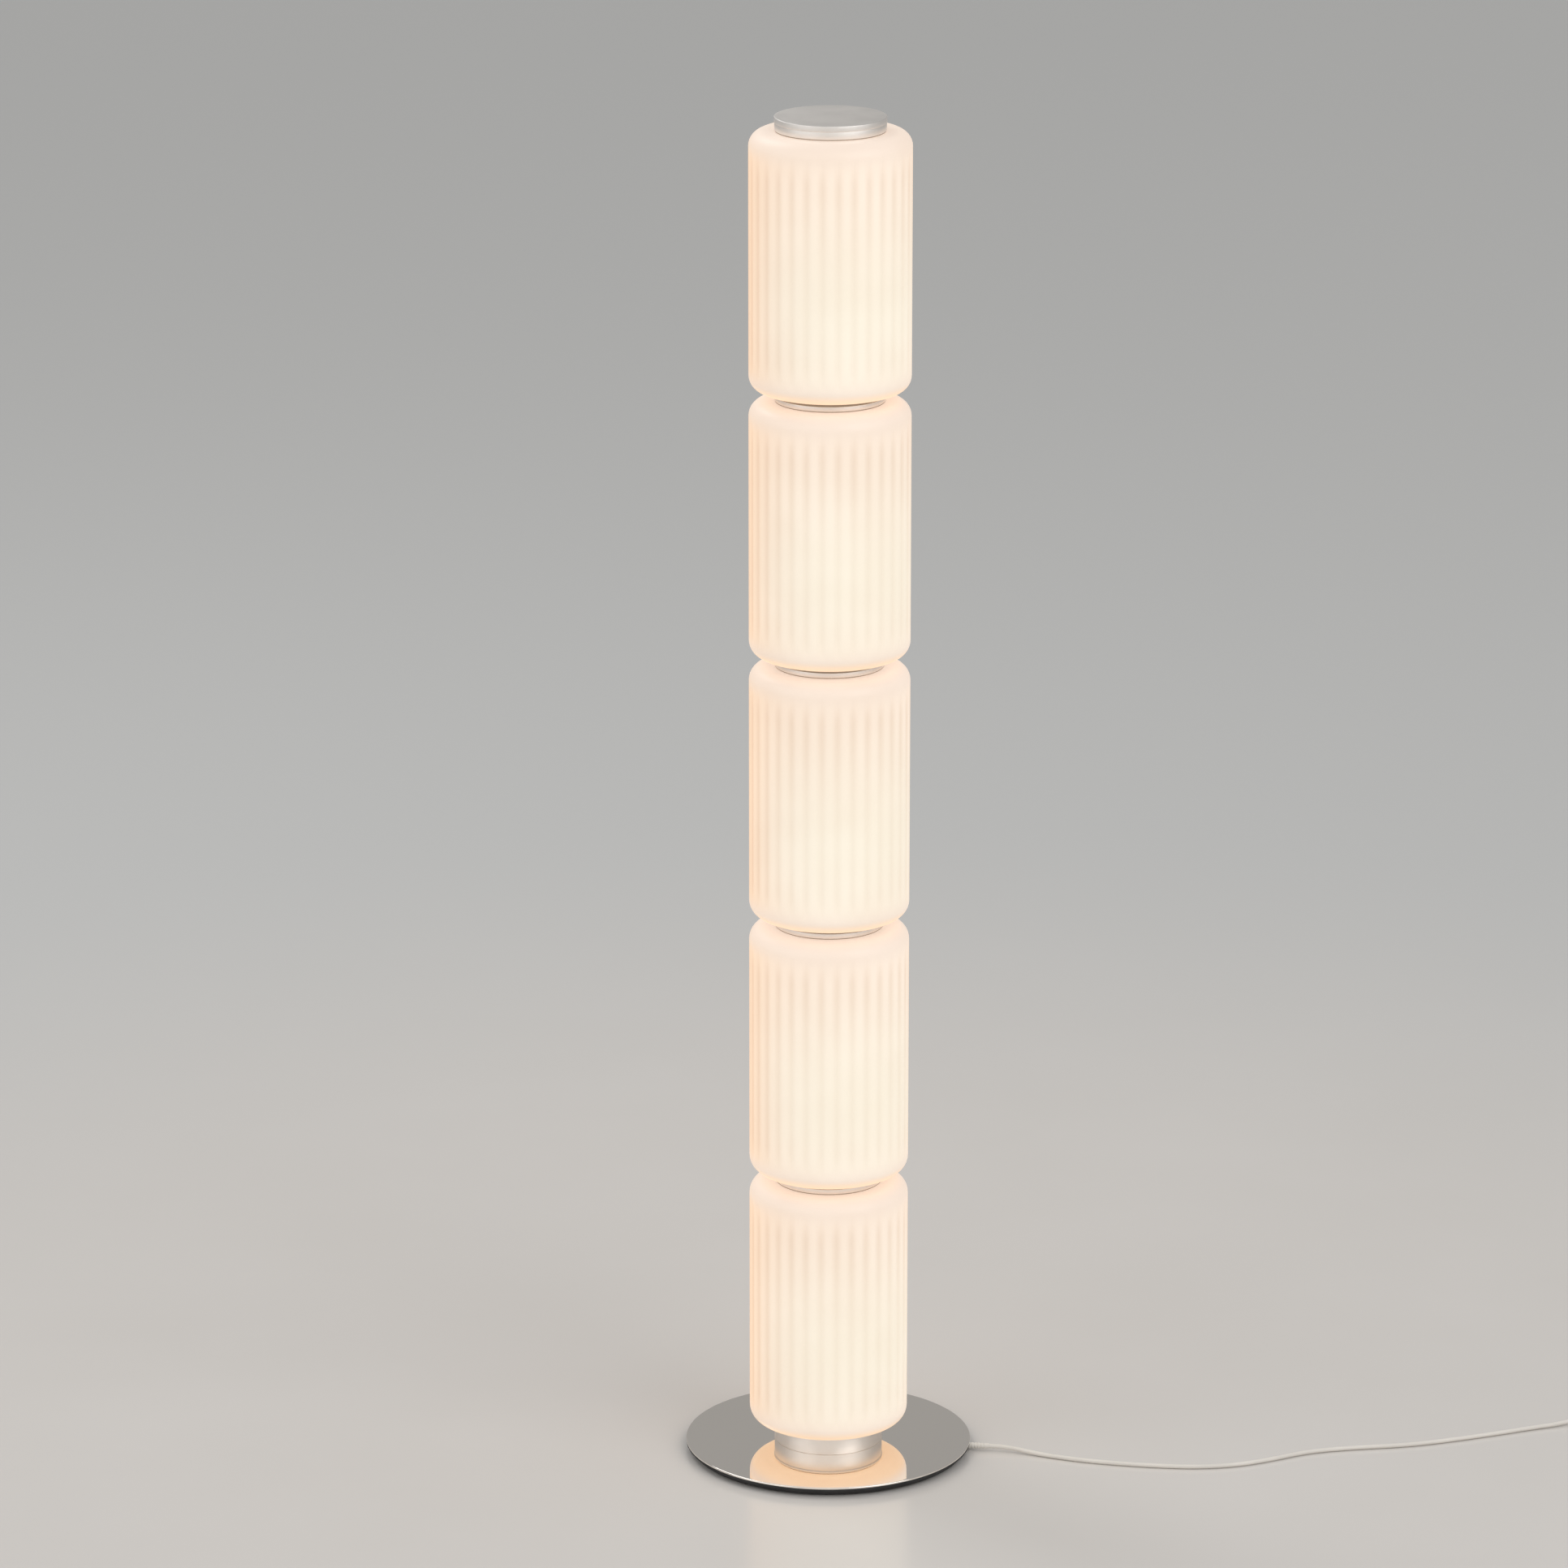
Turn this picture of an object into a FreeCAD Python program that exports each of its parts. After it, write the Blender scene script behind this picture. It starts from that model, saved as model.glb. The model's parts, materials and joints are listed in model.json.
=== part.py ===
import FreeCAD, Part
import math
import os

# Floor lamp: a column of stacked ribbed opal glass shades, clamped between a
# mirror base disc and a flat cap by a hollow stem, with its mains lead, foot
# switch and plug lying on the floor. Millimetres, +Z up, origin on the floor
# at the centre of the base.

Vector = FreeCAD.Vector
UP = Vector(0, 0, 1)
os.makedirs("parts", exist_ok=True)

# ---------------------------------------------------------------- sizes
# column of shades
TIER_COUNT = 5
SHADE_RADIUS = 90.0
SHADE_HEIGHT = 290.0
SHADE_WALL = 3.0
SHADE_CORNER = 17.0
SHADE_MOUTH_RADIUS = 56.0
RIB_COUNT = 32
RIB_DEPTH = 1.2
RIB_RUNOUT = 0.4
GASKET_THICKNESS = 1.0
GASKET_OVERHANG = 0.5
DISC_RADIUS = 61.5
SPACER_THICKNESS = 10.0
SPIGOT_CLEARANCE = 0.7
SPIGOT_WALL = 2.5
SPIGOT_HEIGHT = 4.0

# stem
STEM_RADIUS = 8.0
STEM_BORE_RADIUS = 5.0
NIPPLE_BORE_RADIUS = 3.5
NIPPLE_REACH = 15.0
THREAD_CLEARANCE = 0.05
SLIP_CLEARANCE = 0.25
NUT_RADIUS = 8.5
NUT_THICKNESS = 4.0
LOOM_RADIUS = 3.0

# base, foot pad and collar
BASE_RADIUS = 163.0
BASE_THICKNESS = 10.0
BASE_EDGE_ROUND = 1.0
BASE_UNDERCUT = 6.0
PAD_THICKNESS = 2.0
PAD_MARGIN = 5.0
RECESS_RADIUS = 16.0
CHANNEL_ROOF = 2.0
CHANNEL_WIDTH = 8.4
COVER_THICKNESS = 1.2
COVER_LIP = 4.0
COVER_LENGTH = 128.0
LEAD_HOLE_RADIUS = 4.5
LEAD_HOLE_SHIFT = 0.5
COLLAR_HEIGHT = 20.2
COLLAR_WALL = 2.0
SEAT_THICKNESS = 2.5
SEAT_LIP = 0.6

# cap
CAP_SEAT_THICKNESS = 8.5
CAP_THICKNESS = 6.5
CAP_RADIUS = 62.0
CAP_EDGE_ROUND = 0.8
CAP_THREAD_DEPTH = 4.5

# lampholders and bulbs
HOLDER_OFFSET = 28.0
HOLDER_HEADING = -65.0
HOLDER_RADIUS = 14.0
HOLDER_HEIGHT = 40.0
HOLDER_BORE_RADIUS = 7.1
HOLDER_FLOOR = 12.0
BRACKET_HEIGHT = 32.0
BRACKET_THICKNESS = 2.5
BRACKET_WALL = 3.0
BRACKET_RING_HEIGHT = 10.0
BRACKET_ARM_WIDTH = 16.0
BULB_RADIUS = 17.5
BULB_HEIGHT = 78.0
BULB_NECK_RADIUS = 9.0
BULB_WIDEST_HEIGHT = 32.8
BULB_SHOULDER_RADIUS = 14.0
BULB_TAPER_RADIUS = 12.95
BULB_WALL = 1.0
BULB_CAP_CLEARANCE = 0.1
BULB_CAP_HEIGHT = 26.0
LED_POST_RADIUS = 3.0
LED_POST_HEIGHT = 46.0
LEAD_RADIUS = 1.6

# mains lead
CORD_RADIUS = 2.5
FLOOR_GAP = 0.1
BEND_SHARE = 0.45
EXIT_HEADING = -5.0
EXIT_HEIGHT = 6.0
EXIT_RUN = 20.0
SWITCH_RUN = 12.0
RELIEF_RADIUS = 3.9
RELIEF_TIP_RADIUS = 3.2
RELIEF_REACH = 22.0
RELIEF_INSIDE = 14.0
INNER_LEAD_TURN = 25.0
TERMINAL_HEIGHT = 19.3
TERMINAL_SIZE = (34.0, 18.0, 11.0)
TERMINAL_LEG = 4.0
TERMINAL_SCREW_RADIUS = 2.0

# foot switch
SWITCH_CENTRE = (927.0, 99.5)
SWITCH_HEADING = 22.0
SWITCH_RADIUS = 30.0
SWITCH_TRAY_HEIGHT = 4.0
SWITCH_HEIGHT = 18.0
SWITCH_WALL = 2.0
SWITCH_ROUND = 4.0
SWITCH_CORD_HEIGHT = 5.5
SWITCH_SLEEVE = 14.0
SWITCH_SLEEVE_RADIUS = 4.2
BUTTON_RADIUS = 14.0
BUTTON_PROUD = 4.5
BUTTON_TRAVEL = 2.5
BUTTON_CLEARANCE = 0.4
BUTTON_FLANGE = 2.0
CONTACT_BLOCK = (20.0, 16.0)
CONTACT_GAP = 0.3

# plug
PLUG_LENGTH = 38.0
PLUG_WIDTH = 35.0
PLUG_THICKNESS = 14.0
PLUG_ROUND = 5.0
PLUG_NOSE_RATIO = 0.62
PLUG_SLEEVE = 18.0
PLUG_SLEEVE_RADIUS = 4.5
PIN_RADIUS = 2.0
PIN_LENGTH = 19.0
PIN_SPACING = 18.6
PIN_ROOT = 6.0
PIN_ROOT_RADIUS = 1.5
PIN_TIP_ROUND = 0.6

# coil of the length that is put away
COIL_TURN_GAP = 0.6
COIL_HALF_TURNS = 6
COIL_INNER_RADIUS = 20.6
COIL_LAYER_GAP = 0.5
TIE_THICKNESS = 0.8
TIE_WIDTH = 8.0
TIE_SLACK = 0.4
TAIL_TURN = 8.0
TAIL_RUN = 13.0

# ---------------------------------------------------------------- levels
DISC_GAP = SPACER_THICKNESS + 2 * GASKET_THICKNESS
BASE_TOP = PAD_THICKNESS + BASE_THICKNESS
COLLAR_TOP = BASE_TOP + COLLAR_HEIGHT
SEAT_TOP = COLLAR_TOP + SEAT_THICKNESS
FIRST_TIER = SEAT_TOP + GASKET_THICKNESS
TIER_PITCH = SHADE_HEIGHT + DISC_GAP
COLUMN_TOP = FIRST_TIER + TIER_COUNT * TIER_PITCH - DISC_GAP
CAP_SEAT_BOTTOM = COLUMN_TOP + GASKET_THICKNESS
CAP_BOTTOM = CAP_SEAT_BOTTOM + CAP_SEAT_THICKNESS
NIPPLE_RADIUS = STEM_BORE_RADIUS - THREAD_CLEARANCE
SPIGOT_RADIUS = SHADE_MOUTH_RADIUS - SPIGOT_CLEARANCE
CORD_LEVEL = CORD_RADIUS + FLOOR_GAP
CHANNEL_TOP = BASE_TOP - CHANNEL_ROOF


def tier_bottom(tier):
    return FIRST_TIER + tier * TIER_PITCH


def save(shape, name):
    shape.exportStep(os.path.join("parts", name + ".step"))


def cylinder(radius, height, bottom, x=0.0, y=0.0):
    return Part.makeCylinder(radius, height, Vector(x, y, bottom), UP)


def ring(outer, inner, height, bottom):
    return cylinder(outer, height, bottom).cut(cylinder(inner, height, bottom))


def box(x_range, y_range, z_range):
    corner = Vector(x_range[0], y_range[0], z_range[0])
    size = [high - low for low, high in (x_range, y_range, z_range)]
    return Part.makeBox(size[0], size[1], size[2], corner)


def revolve(points):
    # closed outline of (radius, height) points turned about the lamp's axis
    outline = [Vector(r, 0, z) for r, z in points]
    face = Part.Face(Part.makePolygon(outline + [outline[0]]))
    return face.revolve(Vector(0, 0, 0), UP, 360)


def turned(shape, heading):
    copy = shape.copy()
    copy.rotate(Vector(0, 0, 0), UP, heading)
    return copy


def moved(shape, x, y, z):
    copy = shape.copy()
    copy.translate(Vector(x, y, z))
    return copy


def placed(shape, centre, heading):
    return moved(turned(shape, heading), centre[0], centre[1], 0)


def direction(heading):
    angle = math.radians(heading)
    return Vector(math.cos(angle), math.sin(angle), 0)


def cone_along_x(radius_start, radius_end, x_start, x_end, height):
    return Part.makeCone(radius_start, radius_end, x_end - x_start,
                         Vector(x_start, 0, height), Vector(1, 0, 0))


# ---------------------------------------------------------------- shades
def rounded_can(radius, corner, mouth, bottom, top):
    # solid can with both rims rounded and flat ends, closed on the axis
    edge = radius - corner
    lean = corner * math.sqrt(0.5)
    points = {
        "low": Vector(edge, 0, bottom),
        "low_mid": Vector(edge + lean, 0, bottom + corner - lean),
        "low_side": Vector(radius, 0, bottom + corner),
        "top_side": Vector(radius, 0, top - corner),
        "top_mid": Vector(edge + lean, 0, top - corner + lean),
        "top": Vector(edge, 0, top),
    }
    edges = [
        Part.makeLine(Vector(mouth, 0, bottom), points["low"]),
        Part.Arc(points["low"], points["low_mid"], points["low_side"]).toShape(),
        Part.makeLine(points["low_side"], points["top_side"]),
        Part.Arc(points["top_side"], points["top_mid"], points["top"]).toShape(),
        Part.makeLine(points["top"], Vector(mouth, 0, top)),
        Part.makeLine(Vector(mouth, 0, top), Vector(mouth, 0, bottom)),
    ]
    return Part.Face(Part.Wire(edges)).revolve(Vector(0, 0, 0), UP, 360)


def ribbed_prism(height):
    step = 2 * math.pi / RIB_COUNT
    groove = SHADE_RADIUS - RIB_DEPTH

    def at(radius, angle):
        return Vector(radius * math.cos(angle), radius * math.sin(angle), 0)

    arcs = []
    for rib in range(RIB_COUNT):
        middle = rib * step
        arc = Part.Arc(at(groove, middle - step / 2), at(SHADE_RADIUS, middle),
                       at(groove, middle + step / 2))
        arcs.append(arc.toShape())
    return Part.Face(Part.Wire(arcs)).extrude(Vector(0, 0, height))


def shade_glass():
    # convex ribs run out where the rounded rims fall inside the groove depth
    outer = rounded_can(SHADE_RADIUS + RIB_RUNOUT, SHADE_CORNER + RIB_RUNOUT,
                        SHADE_MOUTH_RADIUS, 0, SHADE_HEIGHT)
    inner_radius = SHADE_RADIUS - RIB_DEPTH - SHADE_WALL
    inner_corner = SHADE_CORNER - SHADE_WALL
    inner = rounded_can(inner_radius, inner_corner, SHADE_MOUTH_RADIUS / 2,
                        SHADE_WALL, SHADE_HEIGHT - SHADE_WALL)
    return outer.common(ribbed_prism(SHADE_HEIGHT)).cut(inner)


# ---------------------------------------------------------------- stem
def spigot(bottom, height):
    return ring(SPIGOT_RADIUS, SPIGOT_RADIUS - SPIGOT_WALL, height, bottom)


def gasket(bottom):
    return ring(DISC_RADIUS - GASKET_OVERHANG, SPIGOT_RADIUS + SPIGOT_CLEARANCE,
                GASKET_THICKNESS, bottom)


def spacer_disc(tier):
    bottom = tier_bottom(tier) + SHADE_HEIGHT + GASKET_THICKNESS
    reach = SPIGOT_HEIGHT + GASKET_THICKNESS
    disc = cylinder(DISC_RADIUS, SPACER_THICKNESS, bottom)
    disc = disc.fuse(spigot(bottom - reach, reach))
    disc = disc.fuse(spigot(bottom + SPACER_THICKNESS, reach))
    return disc.cut(cylinder(STEM_BORE_RADIUS, SPACER_THICKNESS, bottom))


def stem_tube(tier):
    bottom = BASE_TOP if tier == 0 else tier_bottom(tier) - GASKET_THICKNESS
    top = tier_bottom(tier) + SHADE_HEIGHT + GASKET_THICKNESS
    tube = ring(STEM_RADIUS, STEM_BORE_RADIUS, top - bottom, bottom)
    outlet = Part.makeCylinder(LEAD_RADIUS + THREAD_CLEARANCE, STEM_RADIUS,
                               Vector(0, 0, lead_level(tier)), Vector(1, 0, 0))
    return tube.cut(outlet)


def nipple(bottom, top):
    return ring(NIPPLE_RADIUS, NIPPLE_BORE_RADIUS, top - bottom, bottom)


def hex_nut(bottom):
    corners = []
    for corner in range(7):
        angle = math.radians(60 * corner)
        corners.append(Vector(NUT_RADIUS * math.cos(angle), NUT_RADIUS * math.sin(angle), bottom))
    nut = Part.Face(Part.makePolygon(corners)).extrude(Vector(0, 0, NUT_THICKNESS))
    return nut.cut(cylinder(STEM_BORE_RADIUS, NUT_THICKNESS, bottom))


# ---------------------------------------------------------------- lampholders
def bracket_level(tier):
    return tier_bottom(tier) + BRACKET_HEIGHT


def lead_level(tier):
    return bracket_level(tier) - BRACKET_RING_HEIGHT


def holder_bracket(tier):
    level = bracket_level(tier)
    clamp = cylinder(STEM_RADIUS + BRACKET_WALL, BRACKET_RING_HEIGHT, level)
    arm = box((0, HOLDER_OFFSET), (-BRACKET_ARM_WIDTH / 2, BRACKET_ARM_WIDTH / 2),
              (level, level + BRACKET_THICKNESS))
    pad = cylinder(HOLDER_RADIUS, BRACKET_THICKNESS, level, HOLDER_OFFSET)
    bracket = clamp.fuse(arm).fuse(pad)
    bracket = bracket.cut(cylinder(STEM_RADIUS + THREAD_CLEARANCE, BRACKET_RING_HEIGHT, level))
    return bracket.cut(cylinder(STEM_BORE_RADIUS, BRACKET_THICKNESS, level, HOLDER_OFFSET))


def lampholder(tier):
    level = bracket_level(tier) + BRACKET_THICKNESS
    shell = cylinder(HOLDER_RADIUS, HOLDER_HEIGHT, level, HOLDER_OFFSET)
    shank = cylinder(NIPPLE_RADIUS, BRACKET_RING_HEIGHT, level - BRACKET_RING_HEIGHT, HOLDER_OFFSET)
    bore = cylinder(HOLDER_BORE_RADIUS, HOLDER_HEIGHT - HOLDER_FLOOR, level + HOLDER_FLOOR,
                    HOLDER_OFFSET)
    rim = Part.makeCone(HOLDER_RADIUS, HOLDER_RADIUS - BRACKET_WALL, BRACKET_WALL,
                        Vector(HOLDER_OFFSET, 0, level + HOLDER_HEIGHT), UP)
    rim = rim.cut(cylinder(HOLDER_BORE_RADIUS, BRACKET_WALL, level + HOLDER_HEIGHT, HOLDER_OFFSET))
    return shell.fuse(shank).cut(bore).fuse(rim)


def holder_nut(tier):
    bottom = bracket_level(tier) - NUT_THICKNESS
    return moved(hex_nut(bottom), HOLDER_OFFSET, 0, 0)


def bulb_seat(tier):
    # top of the lampholder, where the bulb's screw cap ends
    return bracket_level(tier) + BRACKET_THICKNESS + HOLDER_HEIGHT + BRACKET_WALL


def candle_outline(wall):
    # half outline of the candle bulb, drawn in by the glass thickness
    neck = BULB_NECK_RADIUS - wall
    tip = BULB_HEIGHT - wall
    lower = Part.BSplineCurve()
    lower.interpolate([
        Vector(neck, 0, 0),
        Vector(BULB_SHOULDER_RADIUS - wall, 0, BULB_WIDEST_HEIGHT / 2),
        Vector(BULB_RADIUS - wall, 0, BULB_WIDEST_HEIGHT),
        Vector(BULB_TAPER_RADIUS - wall, 0, (BULB_WIDEST_HEIGHT + tip) / 2),
        Vector(0, 0, tip),
    ])
    return [lower.toShape(), Part.makeLine(Vector(0, 0, tip), Vector(0, 0, 0)),
            Part.makeLine(Vector(0, 0, 0), Vector(neck, 0, 0))]


def bulb_glass(tier):
    solids = [Part.Face(Part.Wire(candle_outline(wall))).revolve(Vector(0, 0, 0), UP, 360)
              for wall in (0.0, BULB_WALL)]
    return moved(solids[0].cut(solids[1]), HOLDER_OFFSET, 0, bulb_seat(tier))


def bulb_cap(tier):
    # screw cap inside the lampholder, with the light post standing in the bulb
    seat = bulb_seat(tier)
    cap = cylinder(HOLDER_BORE_RADIUS - BULB_CAP_CLEARANCE, BULB_CAP_HEIGHT,
                   seat - BULB_CAP_HEIGHT, HOLDER_OFFSET)
    return cap.fuse(cylinder(LED_POST_RADIUS, LED_POST_HEIGHT, seat, HOLDER_OFFSET))


def tier_lead(tier):
    # short lead from the stem's side hole to the lampholder's shank
    level = lead_level(tier)
    start = LOOM_RADIUS
    end = HOLDER_OFFSET
    run = Part.makeCylinder(LEAD_RADIUS, end - start, Vector(start, 0, level), Vector(1, 0, 0))
    bend = Part.makeSphere(LEAD_RADIUS, Vector(end, 0, level))
    shank_bottom = bracket_level(tier) + BRACKET_THICKNESS - BRACKET_RING_HEIGHT
    rise = cylinder(LEAD_RADIUS, shank_bottom - level, level, end)
    return run.fuse(bend).fuse(rise)


# ---------------------------------------------------------------- base
def base_disc():
    # the rim is cut back below, so that the disc seems to float over its shadow
    foot_radius = BASE_RADIUS - BASE_UNDERCUT
    disc = Part.makeCone(foot_radius, BASE_RADIUS, BASE_UNDERCUT, Vector(0, 0, PAD_THICKNESS), UP)
    disc = disc.fuse(cylinder(BASE_RADIUS, BASE_THICKNESS - BASE_UNDERCUT, PAD_THICKNESS + BASE_UNDERCUT))
    rims = [edge for edge in disc.Edges
            if len(edge.Vertexes) == 1 and edge.BoundBox.ZMin > BASE_TOP - BASE_EDGE_ROUND]
    disc = disc.makeFillet(BASE_EDGE_ROUND, rims)
    disc = disc.cut(cylinder(RECESS_RADIUS, CHANNEL_TOP - PAD_THICKNESS, PAD_THICKNESS))
    disc = disc.cut(cylinder(STEM_BORE_RADIUS, BASE_THICKNESS, PAD_THICKNESS))
    channel = box((0, BASE_RADIUS), (-CHANNEL_WIDTH / 2, CHANNEL_WIDTH / 2),
                  (PAD_THICKNESS, CHANNEL_TOP))
    rebate = box((0, COVER_LENGTH),
                 (-CHANNEL_WIDTH / 2 - COVER_LIP, CHANNEL_WIDTH / 2 + COVER_LIP),
                 (PAD_THICKNESS, PAD_THICKNESS + COVER_THICKNESS))
    rise = cylinder(LEAD_HOLE_RADIUS, CHANNEL_ROOF, CHANNEL_TOP, INNER_LEAD_TURN + LEAD_HOLE_SHIFT)
    for cutter in (channel, rebate, rise):
        disc = disc.cut(turned(cutter, EXIT_HEADING))
    return disc


def channel_cover():
    half_width = CHANNEL_WIDTH / 2 + COVER_LIP - SLIP_CLEARANCE
    strip = box((RECESS_RADIUS, COVER_LENGTH - SLIP_CLEARANCE),
                (-half_width, half_width), (PAD_THICKNESS, PAD_THICKNESS + COVER_THICKNESS))
    return turned(strip, EXIT_HEADING)


def foot_pad():
    return cylinder(BASE_RADIUS - BASE_UNDERCUT - PAD_MARGIN, PAD_THICKNESS, 0)


def collar():
    return ring(DISC_RADIUS, DISC_RADIUS - COLLAR_WALL, COLLAR_HEIGHT, BASE_TOP)


def bottom_seat():
    disc = cylinder(DISC_RADIUS + SEAT_LIP, SEAT_THICKNESS, COLLAR_TOP)
    disc = disc.fuse(spigot(SEAT_TOP, SPIGOT_HEIGHT + GASKET_THICKNESS))
    return disc.cut(cylinder(STEM_RADIUS + THREAD_CLEARANCE, SEAT_THICKNESS, COLLAR_TOP))


def terminal_block():
    length, width, height = TERMINAL_SIZE
    low = INNER_LEAD_TURN - TERMINAL_LEG * 2
    body = box((low, low + length), (-width / 2, width / 2),
               (TERMINAL_HEIGHT, TERMINAL_HEIGHT + height))
    for start in (low, low + length - TERMINAL_LEG):
        leg = box((start, start + TERMINAL_LEG), (-width / 2, width / 2), (BASE_TOP, TERMINAL_HEIGHT))
        body = body.fuse(leg)
    for side in (-1, 1):
        screw_well = cylinder(TERMINAL_SCREW_RADIUS, height / 2, TERMINAL_HEIGHT + height / 2,
                              low + length / 2, side * width / 4)
        body = body.cut(screw_well)
    return turned(body, EXIT_HEADING)


def strain_relief():
    inside = Part.makeCylinder(RELIEF_RADIUS, RELIEF_INSIDE,
                               Vector(BASE_RADIUS - RELIEF_INSIDE, 0, EXIT_HEIGHT), Vector(1, 0, 0))
    outside = cone_along_x(RELIEF_RADIUS, RELIEF_TIP_RADIUS, BASE_RADIUS,
                           BASE_RADIUS + RELIEF_REACH, EXIT_HEIGHT)
    return turned(inside.fuse(outside), EXIT_HEADING)


# ---------------------------------------------------------------- cap
def top_seat():
    disc = cylinder(DISC_RADIUS, CAP_SEAT_THICKNESS, CAP_SEAT_BOTTOM)
    reach = SPIGOT_HEIGHT + GASKET_THICKNESS
    disc = disc.fuse(spigot(CAP_SEAT_BOTTOM - reach, reach))
    return disc.cut(cylinder(STEM_BORE_RADIUS + SLIP_CLEARANCE, CAP_SEAT_THICKNESS, CAP_SEAT_BOTTOM))


def top_cap():
    cap = cylinder(CAP_RADIUS, CAP_THICKNESS, CAP_BOTTOM)
    rims = [edge for edge in cap.Edges
            if len(edge.Vertexes) == 1 and edge.BoundBox.ZMin > CAP_BOTTOM + CAP_THICKNESS / 2]
    cap = cap.makeFillet(CAP_EDGE_ROUND, rims)
    return cap.cut(cylinder(STEM_BORE_RADIUS, CAP_THREAD_DEPTH, CAP_BOTTOM))


# ---------------------------------------------------------------- free lead
def arc_route(points):
    # straight runs joined by the largest tangent arcs that their runs allow
    edges = []
    radii = []
    start = points[0]
    for before, corner, after in zip(points, points[1:], points[2:]):
        run_in = corner.sub(before)
        run_out = after.sub(corner)
        turn = run_in.getAngle(run_out)
        reach = BEND_SHARE * min(run_in.Length, run_out.Length)
        run_in.normalize()
        run_out.normalize()
        first = corner.sub(run_in * reach)
        last = corner.add(run_out * reach)
        radius = reach / math.tan(turn / 2)
        bisector = run_out.sub(run_in)
        bisector.normalize()
        centre = corner.add(bisector * (radius / math.cos(turn / 2)))
        middle = centre.sub(bisector * radius)
        edges.append(Part.LineSegment(start, first).toShape())
        edges.append(Part.Arc(first, middle, last).toShape())
        radii.append(radius)
        start = last
    edges.append(Part.LineSegment(start, points[-1]).toShape())
    return Part.Wire(edges), radii


def tube_along(wire, start, heading, name, report_radii):
    circle = Part.Wire(Part.makeCircle(CORD_RADIUS, start, heading))
    pipe = Part.BRepOffsetAPI.MakePipeShell(wire)
    pipe.add(circle)
    pipe.build()
    pipe.makeSolid()
    solid = pipe.shape()
    expected = math.pi * CORD_RADIUS ** 2 * wire.Length
    print(name, "length %.1f mm" % wire.Length, "volume ratio %.4f" % (solid.Volume / expected),
          "radii", report_radii)
    return solid


def free_tube(points, name):
    wire, radii = arc_route(points)
    heading = points[1].sub(points[0])
    return tube_along(wire, points[0], heading, name, ["%.0f" % radius for radius in radii])


def inner_lead():
    x_start = BASE_RADIUS - RELIEF_INSIDE
    points = [Vector(x_start, 0, EXIT_HEIGHT), Vector(INNER_LEAD_TURN, 0, EXIT_HEIGHT),
              Vector(INNER_LEAD_TURN, 0, TERMINAL_HEIGHT)]
    return turned(free_tube(points, "inner_lead"), EXIT_HEADING)


def exit_point(run):
    spot = direction(EXIT_HEADING) * (BASE_RADIUS + RELIEF_REACH + run)
    return Vector(spot.x, spot.y, EXIT_HEIGHT)


SWITCH_REACH = SWITCH_RADIUS + SWITCH_SLEEVE


def switch_end(side, run):
    spot = direction(SWITCH_HEADING) * (side * (SWITCH_REACH + run))
    return Vector(SWITCH_CENTRE[0] + spot.x, SWITCH_CENTRE[1] + spot.y, SWITCH_CORD_HEIGHT)


def lamp_cord_points():
    # lead from the base to the foot switch, as it lies on the floor
    chosen = [
        (240.0, -33.0, 2.7), (289.0, -52.0, 2.6), (346.0, -64.5, 2.6), (403.0, -71.5, 2.6),
        (441.0, -70.0, 2.6), (477.0, -61.0, 2.6), (513.0, -43.5, 2.6), (549.0, -23.0, 2.6),
        (600.0, -10.5, 2.6), (667.0, -1.5, 2.6), (721.0, 16.5, 2.6), (771.0, 36.0, 2.6),
        (814.0, 54.5, 2.6), (842.0, 64.0, 3.0),
    ]
    return ([exit_point(0), exit_point(EXIT_RUN)] + [Vector(*point) for point in chosen]
            + [switch_end(-1, SWITCH_RUN), switch_end(-1, 0)])


# the coil's own frame: u runs along the arriving lead, v to its right
COIL_HEADING = 22.0
COIL_START = (1012.0, 133.5)
COIL_LEVEL = CORD_RADIUS + TIE_THICKNESS + FLOOR_GAP
COIL_UPPER_LEVEL = COIL_LEVEL + 2 * CORD_RADIUS + COIL_LAYER_GAP
COIL_STEP = (2 * CORD_RADIUS + COIL_TURN_GAP) / 2
COIL_END_RUN = 2 * CORD_RADIUS


def coil_point(u, v, level):
    along = direction(COIL_HEADING)
    right = direction(COIL_HEADING - 90.0)
    return Vector(COIL_START[0], COIL_START[1], level) + along * u + right * v


def coil_path():
    # half turns spiral in on the floor, one climbs, and the rest spiral out on top
    outer = COIL_INNER_RADIUS + COIL_STEP * COIL_HALF_TURNS
    radii = [outer - COIL_STEP * k for k in range(COIL_HALF_TURNS)]
    radii.append(COIL_INNER_RADIUS)
    radii += [COIL_INNER_RADIUS + COIL_STEP * (k + 1) for k in range(COIL_HALF_TURNS)]
    edges = [Part.makeLine(coil_point(-COIL_END_RUN, 0, COIL_LEVEL), coil_point(0, 0, COIL_LEVEL))]
    side = 1
    v = 0.0
    level = COIL_LEVEL
    for count, radius in enumerate(radii):
        next_level = COIL_UPPER_LEVEL if count >= COIL_HALF_TURNS else COIL_LEVEL
        start = coil_point(0, v, level)
        v += side * 2 * radius
        end = coil_point(0, v, next_level)
        bulge = coil_point(side * start.distanceToPoint(end) / 2, v - side * radius,
                           (level + next_level) / 2)
        edges.append(Part.Arc(start, bulge, end).toShape())
        side = -side
        level = next_level
    finish = coil_point(-COIL_END_RUN, v, level)
    edges.append(Part.makeLine(coil_point(0, v, level), finish))
    return edges, finish


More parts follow.
